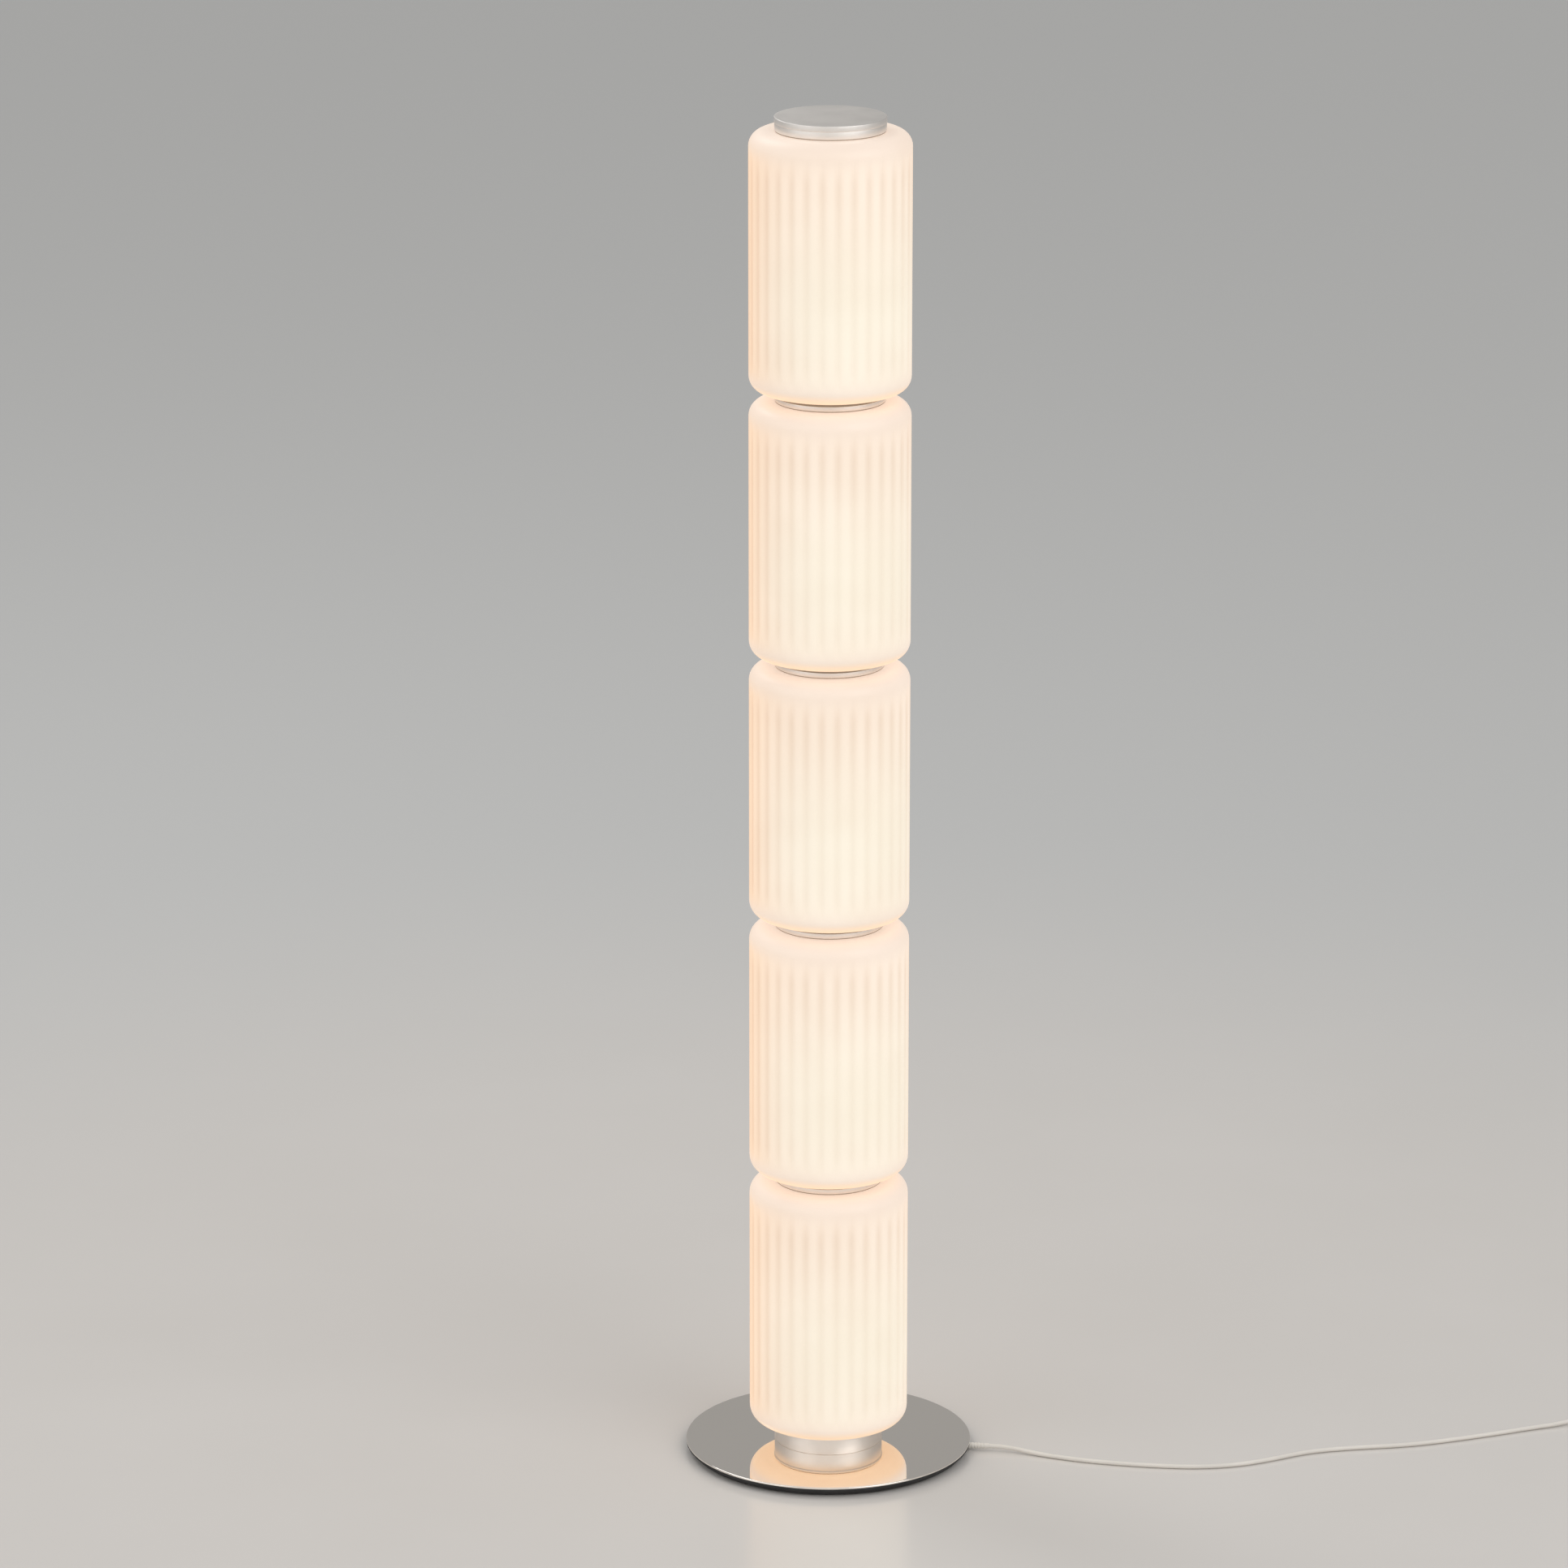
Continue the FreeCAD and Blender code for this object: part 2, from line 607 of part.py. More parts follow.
def least_self_gap(edges):
    # least gap between points more than one third of a turn apart along the coil
    points = []
    travelled = 0.0
    for edge in edges:
        count = max(2, int(edge.Length / CORD_RADIUS))
        for point in edge.discretize(count + 1)[:-1]:
            points.append((travelled, point))
            travelled += edge.Length / count
    apart = 2 * math.pi * COIL_INNER_RADIUS / 3
    least = min(first[1].distanceToPoint(second[1])
                for index, first in enumerate(points) for second in points[index + 1:]
                if second[0] - first[0] > apart)
    return least - 2 * CORD_RADIUS


def cord_coil():
    edges, finish = coil_path()
    start = coil_point(-COIL_END_RUN, 0, COIL_LEVEL)
    solid = tube_along(Part.Wire(edges), start, direction(COIL_HEADING), "cord_coil", [])
    print("cord_coil least gap to itself %.2f mm" % least_self_gap(edges))
    return solid


def coil_tie():
    outer = COIL_INNER_RADIUS + COIL_STEP * COIL_HALF_TURNS
    far = -(outer + CORD_RADIUS + TIE_SLACK)
    near = -(COIL_INNER_RADIUS - CORD_RADIUS - TIE_SLACK)
    low = COIL_LEVEL - CORD_RADIUS - FLOOR_GAP
    high = COIL_UPPER_LEVEL + CORD_RADIUS + FLOOR_GAP
    half = TIE_WIDTH / 2
    hole = box((far, near), (-half, half), (low, high))
    skin = TIE_THICKNESS
    band = box((far - skin, near + skin), (-half, half), (low - skin, high + skin)).cut(hole)
    centre = coil_point(0, outer, 0)
    return placed(band, (centre.x, centre.y), COIL_HEADING)


def second_cord_points():
    return [switch_end(1, 0), switch_end(1, SWITCH_RUN),
            coil_point(-COIL_END_RUN - SWITCH_RUN, 0, COIL_LEVEL),
            coil_point(-COIL_END_RUN, 0, COIL_LEVEL)]


def tail_points():
    # the last of the lead comes down from the coil and turns clear of it
    finish = coil_path()[1]
    heading = COIL_HEADING + 180.0
    points = [finish]
    levels = (COIL_UPPER_LEVEL, PLUG_THICKNESS / 2, PLUG_THICKNESS / 2)
    for level in levels:
        spot = points[-1] + direction(heading) * TAIL_RUN
        points.append(Vector(spot.x, spot.y, level))
        heading += TAIL_TURN
    return points, heading - TAIL_TURN


# ---------------------------------------------------------------- foot switch
def switch_tray():
    tray = cylinder(SWITCH_RADIUS, SWITCH_TRAY_HEIGHT, 0)
    floor = SWITCH_WALL
    return tray.cut(cylinder(SWITCH_RADIUS - SWITCH_WALL, SWITCH_TRAY_HEIGHT - floor, floor))


def switch_cover():
    height = SWITCH_HEIGHT - SWITCH_TRAY_HEIGHT
    cover = cylinder(SWITCH_RADIUS, height, SWITCH_TRAY_HEIGHT)
    rims = [edge for edge in cover.Edges
            if len(edge.Vertexes) == 1 and edge.BoundBox.ZMin > SWITCH_TRAY_HEIGHT]
    cover = cover.makeFillet(SWITCH_ROUND, rims)
    cover = cover.cut(cylinder(SWITCH_RADIUS - SWITCH_WALL, height - SWITCH_WALL, SWITCH_TRAY_HEIGHT))
    return cover.cut(cylinder(BUTTON_RADIUS + BUTTON_CLEARANCE, SWITCH_WALL, SWITCH_HEIGHT - SWITCH_WALL))


def switch_button():
    flange_top = SWITCH_HEIGHT - SWITCH_WALL
    shaft = cylinder(BUTTON_RADIUS, SWITCH_WALL + BUTTON_PROUD, flange_top)
    rims = [edge for edge in shaft.Edges
            if len(edge.Vertexes) == 1 and edge.BoundBox.ZMin > SWITCH_HEIGHT]
    shaft = shaft.makeFillet(BUTTON_FLANGE, rims)
    flange = cylinder(BUTTON_RADIUS + BUTTON_FLANGE, BUTTON_FLANGE, flange_top - BUTTON_FLANGE)
    return shaft.fuse(flange)


def contact_block():
    length, width = CONTACT_BLOCK
    top = SWITCH_HEIGHT - SWITCH_WALL - BUTTON_FLANGE - BUTTON_TRAVEL - CONTACT_GAP
    return box((-length / 2, length / 2), (-width / 2, width / 2), (SWITCH_WALL, top))


def switch_sleeves():
    # tapered sleeves on both sides, flush against the round housing
    sleeves = []
    for side in (-1, 1):
        base = cone_along_x(SWITCH_SLEEVE_RADIUS, RELIEF_TIP_RADIUS,
                            SWITCH_RADIUS - SWITCH_WALL, SWITCH_REACH, SWITCH_CORD_HEIGHT)
        base = base.cut(cylinder(SWITCH_RADIUS, SWITCH_HEIGHT, 0))
        sleeves.append(base if side > 0 else turned(base, 180.0))
    return Part.makeCompound(sleeves)


# ---------------------------------------------------------------- plug
def plug_parts(points_end, heading):
    # flat two-pin plug; its own x runs from the sleeve's tip to the pins
    centre = PLUG_THICKNESS / 2
    rear = PLUG_WIDTH * PLUG_NOSE_RATIO / 2
    front = PLUG_WIDTH / 2
    start = PLUG_SLEEVE
    end = PLUG_SLEEVE + PLUG_LENGTH
    outline = [Vector(start, -rear, 0), Vector(start + PLUG_LENGTH / 2, -front, 0),
               Vector(end, -front, 0), Vector(end, front, 0),
               Vector(start + PLUG_LENGTH / 2, front, 0), Vector(start, rear, 0)]
    body = Part.Face(Part.makePolygon(outline + [outline[0]])).extrude(Vector(0, 0, PLUG_THICKNESS))
    long_edges = [edge for edge in body.Edges
                  if edge.BoundBox.ZLength < 1e-6 and edge.BoundBox.XLength > 1e-6]
    body = body.makeFillet(PLUG_ROUND / 2, long_edges)
    sleeve = cone_along_x(RELIEF_TIP_RADIUS, PLUG_SLEEVE_RADIUS, 0, PLUG_SLEEVE, centre)
    body = body.fuse(sleeve)
    pins = []
    spot = (points_end.x, points_end.y)
    forward = Vector(1, 0, 0)
    for side in (-1, 1):
        root = Vector(end - PIN_ROOT, side * PIN_SPACING / 2, centre)
        face = Vector(end, side * PIN_SPACING / 2, centre)
        anchor = Part.makeCylinder(PIN_ROOT_RADIUS, PIN_ROOT, root, forward)
        body = body.cut(anchor)
        pin = Part.makeCylinder(PIN_RADIUS, PIN_LENGTH, face, forward)
        tip = [edge for edge in pin.Edges
               if len(edge.Vertexes) == 1 and edge.BoundBox.XMin > end + PIN_LENGTH / 2]
        pin = pin.makeFillet(PIN_TIP_ROUND, tip).fuse(anchor)
        pins.append(pin)
        middle = face + forward * (PIN_LENGTH / 2)
        print("plug pin middle", placed(Part.Vertex(middle), spot, heading).Point, "heading", heading)
    return placed(body, spot, heading), placed(Part.makeCompound(pins), spot, heading)


# ---------------------------------------------------------------- build
def build_tiers():
    glass = shade_glass()
    for tier in range(TIER_COUNT):
        label = str(tier + 1)
        save(moved(glass, 0, 0, tier_bottom(tier)), "shade_" + label)
        save(turned(stem_tube(tier), HOLDER_HEADING), "stem_tube_" + label)
        save(turned(lampholder(tier), HOLDER_HEADING), "lampholder_" + label)
        save(turned(bulb_glass(tier), HOLDER_HEADING), "bulb_" + label)
        if tier < TIER_COUNT - 1:
            save(spacer_disc(tier), "spacer_disc_" + label)
    repeated = {"holder_brackets": holder_bracket, "lampholder_nuts": holder_nut,
                "bulb_caps": bulb_cap, "tier_leads": tier_lead}
    for name, make in repeated.items():
        group = Part.makeCompound([make(tier) for tier in range(TIER_COUNT)])
        save(turned(group, HOLDER_HEADING), name)


def build_stem():
    joints = []
    gaskets = [gasket(SEAT_TOP)]
    for tier in range(TIER_COUNT - 1):
        below = tier_bottom(tier) + SHADE_HEIGHT
        disc_bottom = below + GASKET_THICKNESS
        gaskets.append(gasket(below))
        gaskets.append(gasket(disc_bottom + SPACER_THICKNESS))
        joints.append(nipple(disc_bottom - NIPPLE_REACH, disc_bottom + SPACER_THICKNESS + NIPPLE_REACH))
    save(Part.makeCompound(joints), "stem_nipples")
    save(Part.makeCompound(gaskets), "shade_gaskets")
    save(gasket(COLUMN_TOP), "cap_gasket")
    nut_bottom = CHANNEL_TOP - NUT_THICKNESS
    save(nipple(nut_bottom, BASE_TOP + NIPPLE_REACH), "base_nipple")
    save(hex_nut(nut_bottom), "base_nut")
    save(nipple(CAP_SEAT_BOTTOM - NIPPLE_REACH, CAP_BOTTOM + CAP_THREAD_DEPTH - SLIP_CLEARANCE), "cap_nipple")
    loom_bottom = BASE_TOP + NIPPLE_REACH
    loom_top = lead_level(TIER_COUNT - 1) + LEAD_RADIUS
    save(cylinder(LOOM_RADIUS, loom_top - loom_bottom, loom_bottom), "stem_loom")


def build_base():
    save(base_disc(), "base_disc")
    save(channel_cover(), "channel_cover")
    save(foot_pad(), "foot_pad")
    save(collar(), "collar")
    save(bottom_seat(), "bottom_seat")
    save(terminal_block(), "terminal_block")
    save(strain_relief(), "strain_relief")
    save(inner_lead(), "inner_lead")
    save(top_seat(), "top_seat")
    save(top_cap(), "top_cap")


def build_lead():
    save(free_tube(lamp_cord_points(), "lamp_cord"), "lamp_cord")
    save(free_tube(second_cord_points(), "second_cord"), "second_cord")
    save(cord_coil(), "cord_coil")
    save(coil_tie(), "coil_tie")
    points, heading = tail_points()
    save(free_tube(points, "plug_cord"), "plug_cord")
    body, pins = plug_parts(points[-1], heading)
    save(body, "plug_body")
    save(pins, "plug_pins")
    for shape, name in ((switch_tray(), "switch_tray"), (switch_cover(), "switch_cover"),
                        (switch_button(), "switch_button"), (contact_block(), "switch_contacts"),
                        (switch_sleeves(), "switch_sleeves")):
        save(placed(shape, SWITCH_CENTRE, SWITCH_HEADING), name)


build_tiers()
build_stem()
build_base()
build_lead()
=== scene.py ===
import json
import math

import bpy
from bpy.props import FloatProperty, FloatVectorProperty, IntProperty, PointerProperty
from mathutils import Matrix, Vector


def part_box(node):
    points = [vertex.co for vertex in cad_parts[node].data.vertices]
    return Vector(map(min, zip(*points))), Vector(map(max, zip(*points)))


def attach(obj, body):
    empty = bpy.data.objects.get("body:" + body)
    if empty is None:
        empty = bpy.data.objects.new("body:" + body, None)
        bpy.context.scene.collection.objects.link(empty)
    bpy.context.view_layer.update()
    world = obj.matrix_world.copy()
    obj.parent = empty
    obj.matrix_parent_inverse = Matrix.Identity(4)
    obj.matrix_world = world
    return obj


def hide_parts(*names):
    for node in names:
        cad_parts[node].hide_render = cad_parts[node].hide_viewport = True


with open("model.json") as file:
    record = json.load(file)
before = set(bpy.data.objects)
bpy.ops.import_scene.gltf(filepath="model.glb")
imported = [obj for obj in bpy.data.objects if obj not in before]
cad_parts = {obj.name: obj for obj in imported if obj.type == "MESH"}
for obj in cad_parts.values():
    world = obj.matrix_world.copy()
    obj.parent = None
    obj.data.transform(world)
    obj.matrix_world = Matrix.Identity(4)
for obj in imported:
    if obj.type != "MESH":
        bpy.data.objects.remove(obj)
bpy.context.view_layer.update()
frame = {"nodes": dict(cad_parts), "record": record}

# A floor lamp: a column of ribbed opal glass shades between metal discs, on a
# mirror base, with its lead, foot switch and plug. Metres, +Z up, origin on the
# floor at the centre of the base.

bl_info = {
    "name": "Ribbed Column Lamp",
    "version": (1, 0, 0),
    "blender": (4, 5, 0),
    "location": "View3D > Sidebar > Lamp",
    "description": "Builds the finished surfaces of a ribbed glass column lamp round its frame",
    "category": "Object",
}

MM = 0.001
TIERS = 5
LAMP = "lamp"
TOP_SHADE = "top_shade"
CAP = "cap"
BUTTON = "button"


# ------------------------------------------------------------ sizes from the frame
def height_range(node):
    low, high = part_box(node)
    return low.z, high.z


def outer_radius(node):
    low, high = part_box(node)
    return (high.x - low.x) / 2


def middle(node):
    low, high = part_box(node)
    return (low + high) / 2


SHADE_BOTTOM, SHADE_TOP = height_range("shade_1")
SHADE_HEIGHT = SHADE_TOP - SHADE_BOTTOM
TIER_PITCH = height_range("shade_2")[0] - SHADE_BOTTOM
SHADE_RADIUS = outer_radius("shade_1")
DISC_RADIUS = outer_radius("collar")


class LampSizes(bpy.types.PropertyGroup):
    """Sizes of the finished surfaces that a user would change"""

    shade_radius: FloatProperty(
        name="Shade radius", description="Radius over the crests of the ribs",
        default=SHADE_RADIUS, unit="LENGTH", precision=4)
    shade_corner: FloatProperty(
        name="Rim round", description="Radius of the rounded rims of a shade",
        default=17 * MM, unit="LENGTH", precision=4)
    shade_mouth: FloatProperty(
        name="Mouth radius", description="Radius of the openings in a shade's ends",
        default=56 * MM, unit="LENGTH", precision=4)
    shade_wall: FloatProperty(
        name="Glass wall", description="Thickness of the glass under a groove",
        default=3 * MM, unit="LENGTH", precision=4)
    rib_count: IntProperty(name="Ribs", description="Ribs round a shade", default=32, min=8)
    rib_depth: FloatProperty(
        name="Rib depth", description="Depth of the grooves between ribs",
        default=1.2 * MM, unit="LENGTH", precision=4)
    rib_fade: FloatProperty(
        name="Rib run-out", description="Height over which a rib grows from the plain rim",
        default=9 * MM, unit="LENGTH", precision=4)
    cord_diameter: FloatProperty(
        name="Lead diameter", description="Outer diameter of the mains lead",
        default=5 * MM, unit="LENGTH", precision=4)


class LampColours(bpy.types.PropertyGroup):
    """Colours of the finishes that a user would change"""

    glass: FloatVectorProperty(
        name="Glass", description="Colour of the unlit opal glass", subtype="COLOR", size=4,
        default=(0.50, 0.43, 0.36, 1.0), min=0, max=1)
    glow_hot: FloatVectorProperty(
        name="Glow over the bulb", description="Light through the glass right in front of the bulb",
        subtype="COLOR", size=4, default=(0.60, 0.565, 0.47, 1.0), min=0, max=1)
    glow_cool: FloatVectorProperty(
        name="Glow by the bulb", description="Light through the glass on the bulb's side",
        subtype="COLOR", size=4, default=(0.61, 0.50, 0.42, 1.0), min=0, max=1)
    glow_warm: FloatVectorProperty(
        name="Glow away from the bulb", description="Light through the glass on the far side",
        subtype="COLOR", size=4, default=(0.65, 0.42, 0.25, 1.0), min=0, max=1)
    glow_rim: FloatVectorProperty(
        name="Glow at the rims", description="Light through the thicker rounded rims",
        subtype="COLOR", size=4, default=(0.53, 0.435, 0.375, 1.0), min=0, max=1)
    glow_underside: FloatVectorProperty(
        name="Glow below", description="Light through the lower rim, as the mirror base shows it",
        subtype="COLOR", size=4, default=(0.68, 0.47, 0.30, 1.0), min=0, max=1)
    nickel: FloatVectorProperty(
        name="Satin nickel", description="Discs, collar and cap", subtype="COLOR", size=4,
        default=(0.93, 0.90, 0.87, 1.0), min=0, max=1)
    chrome: FloatVectorProperty(
        name="Mirror chrome", description="Polished base", subtype="COLOR", size=4,
        default=(0.95, 0.90, 0.85, 1.0), min=0, max=1)
    lead: FloatVectorProperty(
        name="Lead", description="Sheath of the mains lead", subtype="COLOR", size=4,
        default=(0.80, 0.76, 0.70, 1.0), min=0, max=1)


def sizes():
    return bpy.context.scene.lamp_sizes


def colours():
    return bpy.context.scene.lamp_colours


# ------------------------------------------------------------ material helpers
class Nodes:
    """Short words for building one node tree"""

    def __init__(self, tree):
        self.tree = tree

    def add(self, kind, **settings):
        node = self.tree.nodes.new(kind)
        for key, value in settings.items():
            setattr(node, key, value)
        return node

    def link(self, source, target):
        self.tree.links.new(source, target)

    def feed(self, target, value):
        if isinstance(value, bpy.types.NodeSocket):
            self.link(value, target)
        else:
            target.default_value = value

    def math(self, operation, first, second=0.0, third=None):
        node = self.add("ShaderNodeMath", operation=operation)
        self.feed(node.inputs[0], first)
        self.feed(node.inputs[1], second)
        if third is not None:
            self.feed(node.inputs[2], third)
        return node.outputs[0]

    def radius(self, x, y):
        return self.math("SQRT", self.math("ADD", self.math("MULTIPLY", x, x),
                                           self.math("MULTIPLY", y, y)))

    def ramp(self, value, low, high, out_low=0.0, out_high=1.0):
        node = self.add("ShaderNodeMapRange", interpolation_type="SMOOTHSTEP")
        for name, number in (("Value", value), ("From Min", low), ("From Max", high),
                             ("To Min", out_low), ("To Max", out_high)):
            self.feed(node.inputs[name], number)
        return node.outputs[0]

    def mix(self, share, first, second):
        node = self.add("ShaderNodeMix", data_type="RGBA")
        self.feed(node.inputs["Factor"], share)
        self.feed(node.inputs[6], first)
        self.feed(node.inputs[7], second)
        return node.outputs[2]

    def noise(self, vector, scale, detail=3.0):
        node = self.add("ShaderNodeTexNoise")
        self.link(vector, node.inputs["Vector"])
        self.feed(node.inputs["Scale"], scale)
        node.inputs["Detail"].default_value = detail
        return node.outputs["Fac"]

    def split(self, vector):
        node = self.add("ShaderNodeSeparateXYZ")
        self.link(vector, node.inputs[0])
        return node.outputs[0], node.outputs[1], node.outputs[2]

    def join(self, x, y, z):
        node = self.add("ShaderNodeCombineXYZ")
        for target, value in zip(node.inputs, (x, y, z)):
            self.feed(target, value)
        return node.outputs[0]

    def object_point(self):
        return self.add("ShaderNodeTexCoord").outputs["Object"]


def new_group(name, inputs, outputs):
    group = bpy.data.node_groups.new(name, "ShaderNodeTree")
    for label, kind, value in inputs:
        socket = group.interface.new_socket(label, in_out="INPUT", socket_type=kind)
        if value is not None:
            socket.default_value = value
    for label, kind in outputs:
        group.interface.new_socket(label, in_out="OUTPUT", socket_type=kind)
    nodes = Nodes(group)
    start = nodes.add("NodeGroupInput")
    finish = nodes.add("NodeGroupOutput")
    return nodes, start.outputs, finish.inputs


FLOAT = "NodeSocketFloat"
VECTOR = "NodeSocketVector"


def build_grain_group():
    """Fine uneven grain of a moulded or cast surface: a roughness value and a height"""
    nodes, given, made = new_group(
        "Moulded Grain",
        [("Vector", VECTOR, None), ("Scale", FLOAT, 600.0), ("Smooth", FLOAT, 0.3),
         ("Rough", FLOAT, 0.45)],
        [("Roughness", FLOAT), ("Height", FLOAT), ("Mottle", FLOAT)])
    broad_share = 0.6
    broad_scale = nodes.math("MULTIPLY", given["Scale"], 0.04)
    fine = nodes.noise(given["Vector"], given["Scale"], 4.0)
    broad = nodes.noise(given["Vector"], broad_scale, 2.0)
    blend = nodes.math("MULTIPLY_ADD", fine, 0.4, nodes.math("MULTIPLY", broad, broad_share))
    nodes.link(nodes.ramp(blend, 0.3, 0.7, given["Smooth"], given["Rough"]), made["Roughness"])
    nodes.link(fine, made["Height"])
    nodes.link(broad, made["Mottle"])


def build_turned_group():
    """Circular polishing lines about a vertical axis, on flats and on round sides"""
    nodes, given, made = new_group(
        "Turned Lines",
        [("Vector", VECTOR, None), ("Line Scale", FLOAT, 2600.0), ("Fine", FLOAT, 0.2),
         ("Coarse", FLOAT, 0.34)],
        [("Roughness", FLOAT), ("Height", FLOAT), ("Tarnish", FLOAT)])
    drift_along_line = 1.5
    tarnish_scale = 22.0
    x, y, z = nodes.split(given["Vector"])
    path = nodes.join(nodes.math("MULTIPLY", nodes.radius(x, y), given["Line Scale"]),
                      nodes.math("MULTIPLY", z, given["Line Scale"]),
                      nodes.math("MULTIPLY", nodes.math("ARCTAN2", y, x), drift_along_line))
    lines = nodes.noise(path, 1.0)
    tarnish = nodes.noise(given["Vector"], tarnish_scale)
    nodes.link(nodes.ramp(lines, 0.3, 0.7, given["Fine"], given["Coarse"]), made["Roughness"])
    nodes.link(lines, made["Height"])
    nodes.link(tarnish, made["Tarnish"])


def build_rib_group():
    """How deep in a groove, how near a rim and how near the bulb a point of a shade lies"""
    nodes, given, made = new_group(
        "Ribbed Shade",
        [("Vector", VECTOR, None), ("Ribs", FLOAT, 32.0), ("Bottom", FLOAT, SHADE_BOTTOM),
         ("Pitch", FLOAT, TIER_PITCH), ("Height", FLOAT, SHADE_HEIGHT),
         ("Bulb Heading", FLOAT, 0.0), ("Bulb Height", FLOAT, 0.35)],
        [("Groove", FLOAT), ("Rim", FLOAT), ("Underside", FLOAT), ("Near Bulb", FLOAT),
         ("Side", FLOAT)])
    # Shares of a shade's height, but for crest_width, a share of half a rib, and the two
    # cosines of the angle to the bulb's heading at which its light starts to show.
    crest_width = 0.15
    ribs_start, ribs_full = 0.05, 0.17
    rim_height = 0.11
    underside_start, underside_end = 0.012, 0.05
    glow_spread = 0.42
    near_start, side_start = -0.3, -0.6
    x, y, z = nodes.split(given["Vector"])
    turn = nodes.math("ARCTAN2", y, x)
    share = nodes.math("MULTIPLY", nodes.math("DIVIDE", turn, 2 * math.pi), given["Ribs"])
    phase = nodes.math("FRACT", nodes.math("ADD", share, 0.5))
    across = nodes.math("ABSOLUTE", nodes.math("MULTIPLY_ADD", phase, 2.0, -1.0))
    rise = nodes.math("SUBTRACT", z, given["Bottom"])
    level = nodes.math("DIVIDE", nodes.math("WRAP", rise, given["Pitch"], 0.0), given["Height"])
    end = nodes.math("MINIMUM", level, nodes.math("SUBTRACT", 1.0, level))
    nodes.link(nodes.math("MULTIPLY", nodes.ramp(across, crest_width, 1.0),
                          nodes.ramp(end, ribs_start, ribs_full)), made["Groove"])
    nodes.link(nodes.ramp(end, 0.0, rim_height, 1.0, 0.0), made["Rim"])
    nodes.link(nodes.ramp(level, underside_start, underside_end, 1.0, 0.0), made["Underside"])
    facing = nodes.math("COSINE", nodes.math("SUBTRACT", turn, given["Bulb Heading"]))
    up = nodes.math("DIVIDE", nodes.math("SUBTRACT", level, given["Bulb Height"]), glow_spread)
    drop = nodes.math("EXPONENT", nodes.math("MULTIPLY", nodes.math("MULTIPLY", up, up), -1.0))
    nodes.link(nodes.math("MULTIPLY", nodes.ramp(facing, near_start, 1.0), drop), made["Near Bulb"])
    nodes.link(nodes.ramp(facing, side_start, 1.0), made["Side"])


def use_group(nodes, name, **values):
    node = nodes.add("ShaderNodeGroup", node_tree=bpy.data.node_groups[name])
    for label, value in values.items():
        nodes.feed(node.inputs[label.replace("_", " ")], value)
    return node.outputs


def new_material(name):
    material = bpy.data.materials.new(name)
    material.use_nodes = True
    nodes = Nodes(material.node_tree)
    shader = material.node_tree.nodes["Principled BSDF"]
    return material, nodes, shader


def shaded(colour, share):
    """A colour with its brightness scaled"""
    return tuple(share * part for part in colour[:3]) + (1.0,)


def add_bump(nodes, shader, height, distance, strength):
    bump = nodes.add("ShaderNodeBump")
    bump.inputs["Strength"].default_value = strength
    bump.inputs["Distance"].default_value = distance
    nodes.link(height, bump.inputs["Height"])
    nodes.link(bump.outputs["Normal"], shader.inputs["Normal"])


BULB_HEADING = math.atan2(middle("lampholder_1").y, middle("lampholder_1").x)


def opal_glass():
    """Ribbed opal glass lit from within: cream by the bulb, peach away from it, its glow darker in
    the grooves, and its own colour darker in the grooves as painted shade
    """
    material, nodes, shader = new_material("Ribbed opal glass")
    point = nodes.object_point()
    rib = use_group(nodes, "Ribbed Shade", Vector=point, Ribs=float(sizes().rib_count),
                    Bulb_Heading=BULB_HEADING)
    grain = use_group(nodes, "Moulded Grain", Vector=point, Scale=240.0, Smooth=0.4, Rough=0.52)
    groove_far_from_bulb, groove_by_bulb = 0.11, 0.035
    unevenness = (0.97, 1.02)
    green_loss, blue_loss = 1.5, 2.0
    glow = nodes.mix(rib["Side"], tuple(colours().glow_warm), tuple(colours().glow_cool))
    glow = nodes.mix(rib["Near Bulb"], glow, tuple(colours().glow_hot))
    glow = nodes.mix(rib["Rim"], glow, tuple(colours().glow_rim))
    glow = nodes.mix(rib["Underside"], glow, tuple(colours().glow_underside))
    loss = nodes.ramp(rib["Near Bulb"], 0.1, 0.95, groove_far_from_bulb, groove_by_bulb)
    shade = nodes.math("SUBTRACT", 1.0, nodes.math("MULTIPLY", rib["Groove"], loss))
    shade = nodes.math("MULTIPLY", shade, nodes.ramp(grain["Mottle"], 0.3, 0.7, *unevenness))
    tint = nodes.join(shade, nodes.math("POWER", shade, green_loss),
                      nodes.math("POWER", shade, blue_loss))
    product = nodes.add("ShaderNodeVectorMath", operation="MULTIPLY")
    nodes.link(glow, product.inputs[0])
    nodes.link(tint, product.inputs[1])
    nodes.link(product.outputs[0], shader.inputs["Emission Color"])
    shader.inputs["Emission Strength"].default_value = 1.0
    # The glass's own colour is darker in the grooves: painted shade in the recesses
    body = nodes.mix(nodes.math("MULTIPLY", rib["Groove"], 0.25), tuple(colours().glass),
                     shaded(colours().glass, 0.8))
    nodes.link(body, shader.inputs["Base Color"])
    nodes.link(grain["Roughness"], shader.inputs["Roughness"])
    shader.inputs["IOR"].default_value = 1.5
    add_bump(nodes, shader, grain["Height"], 0.00008, 0.6)
    return material


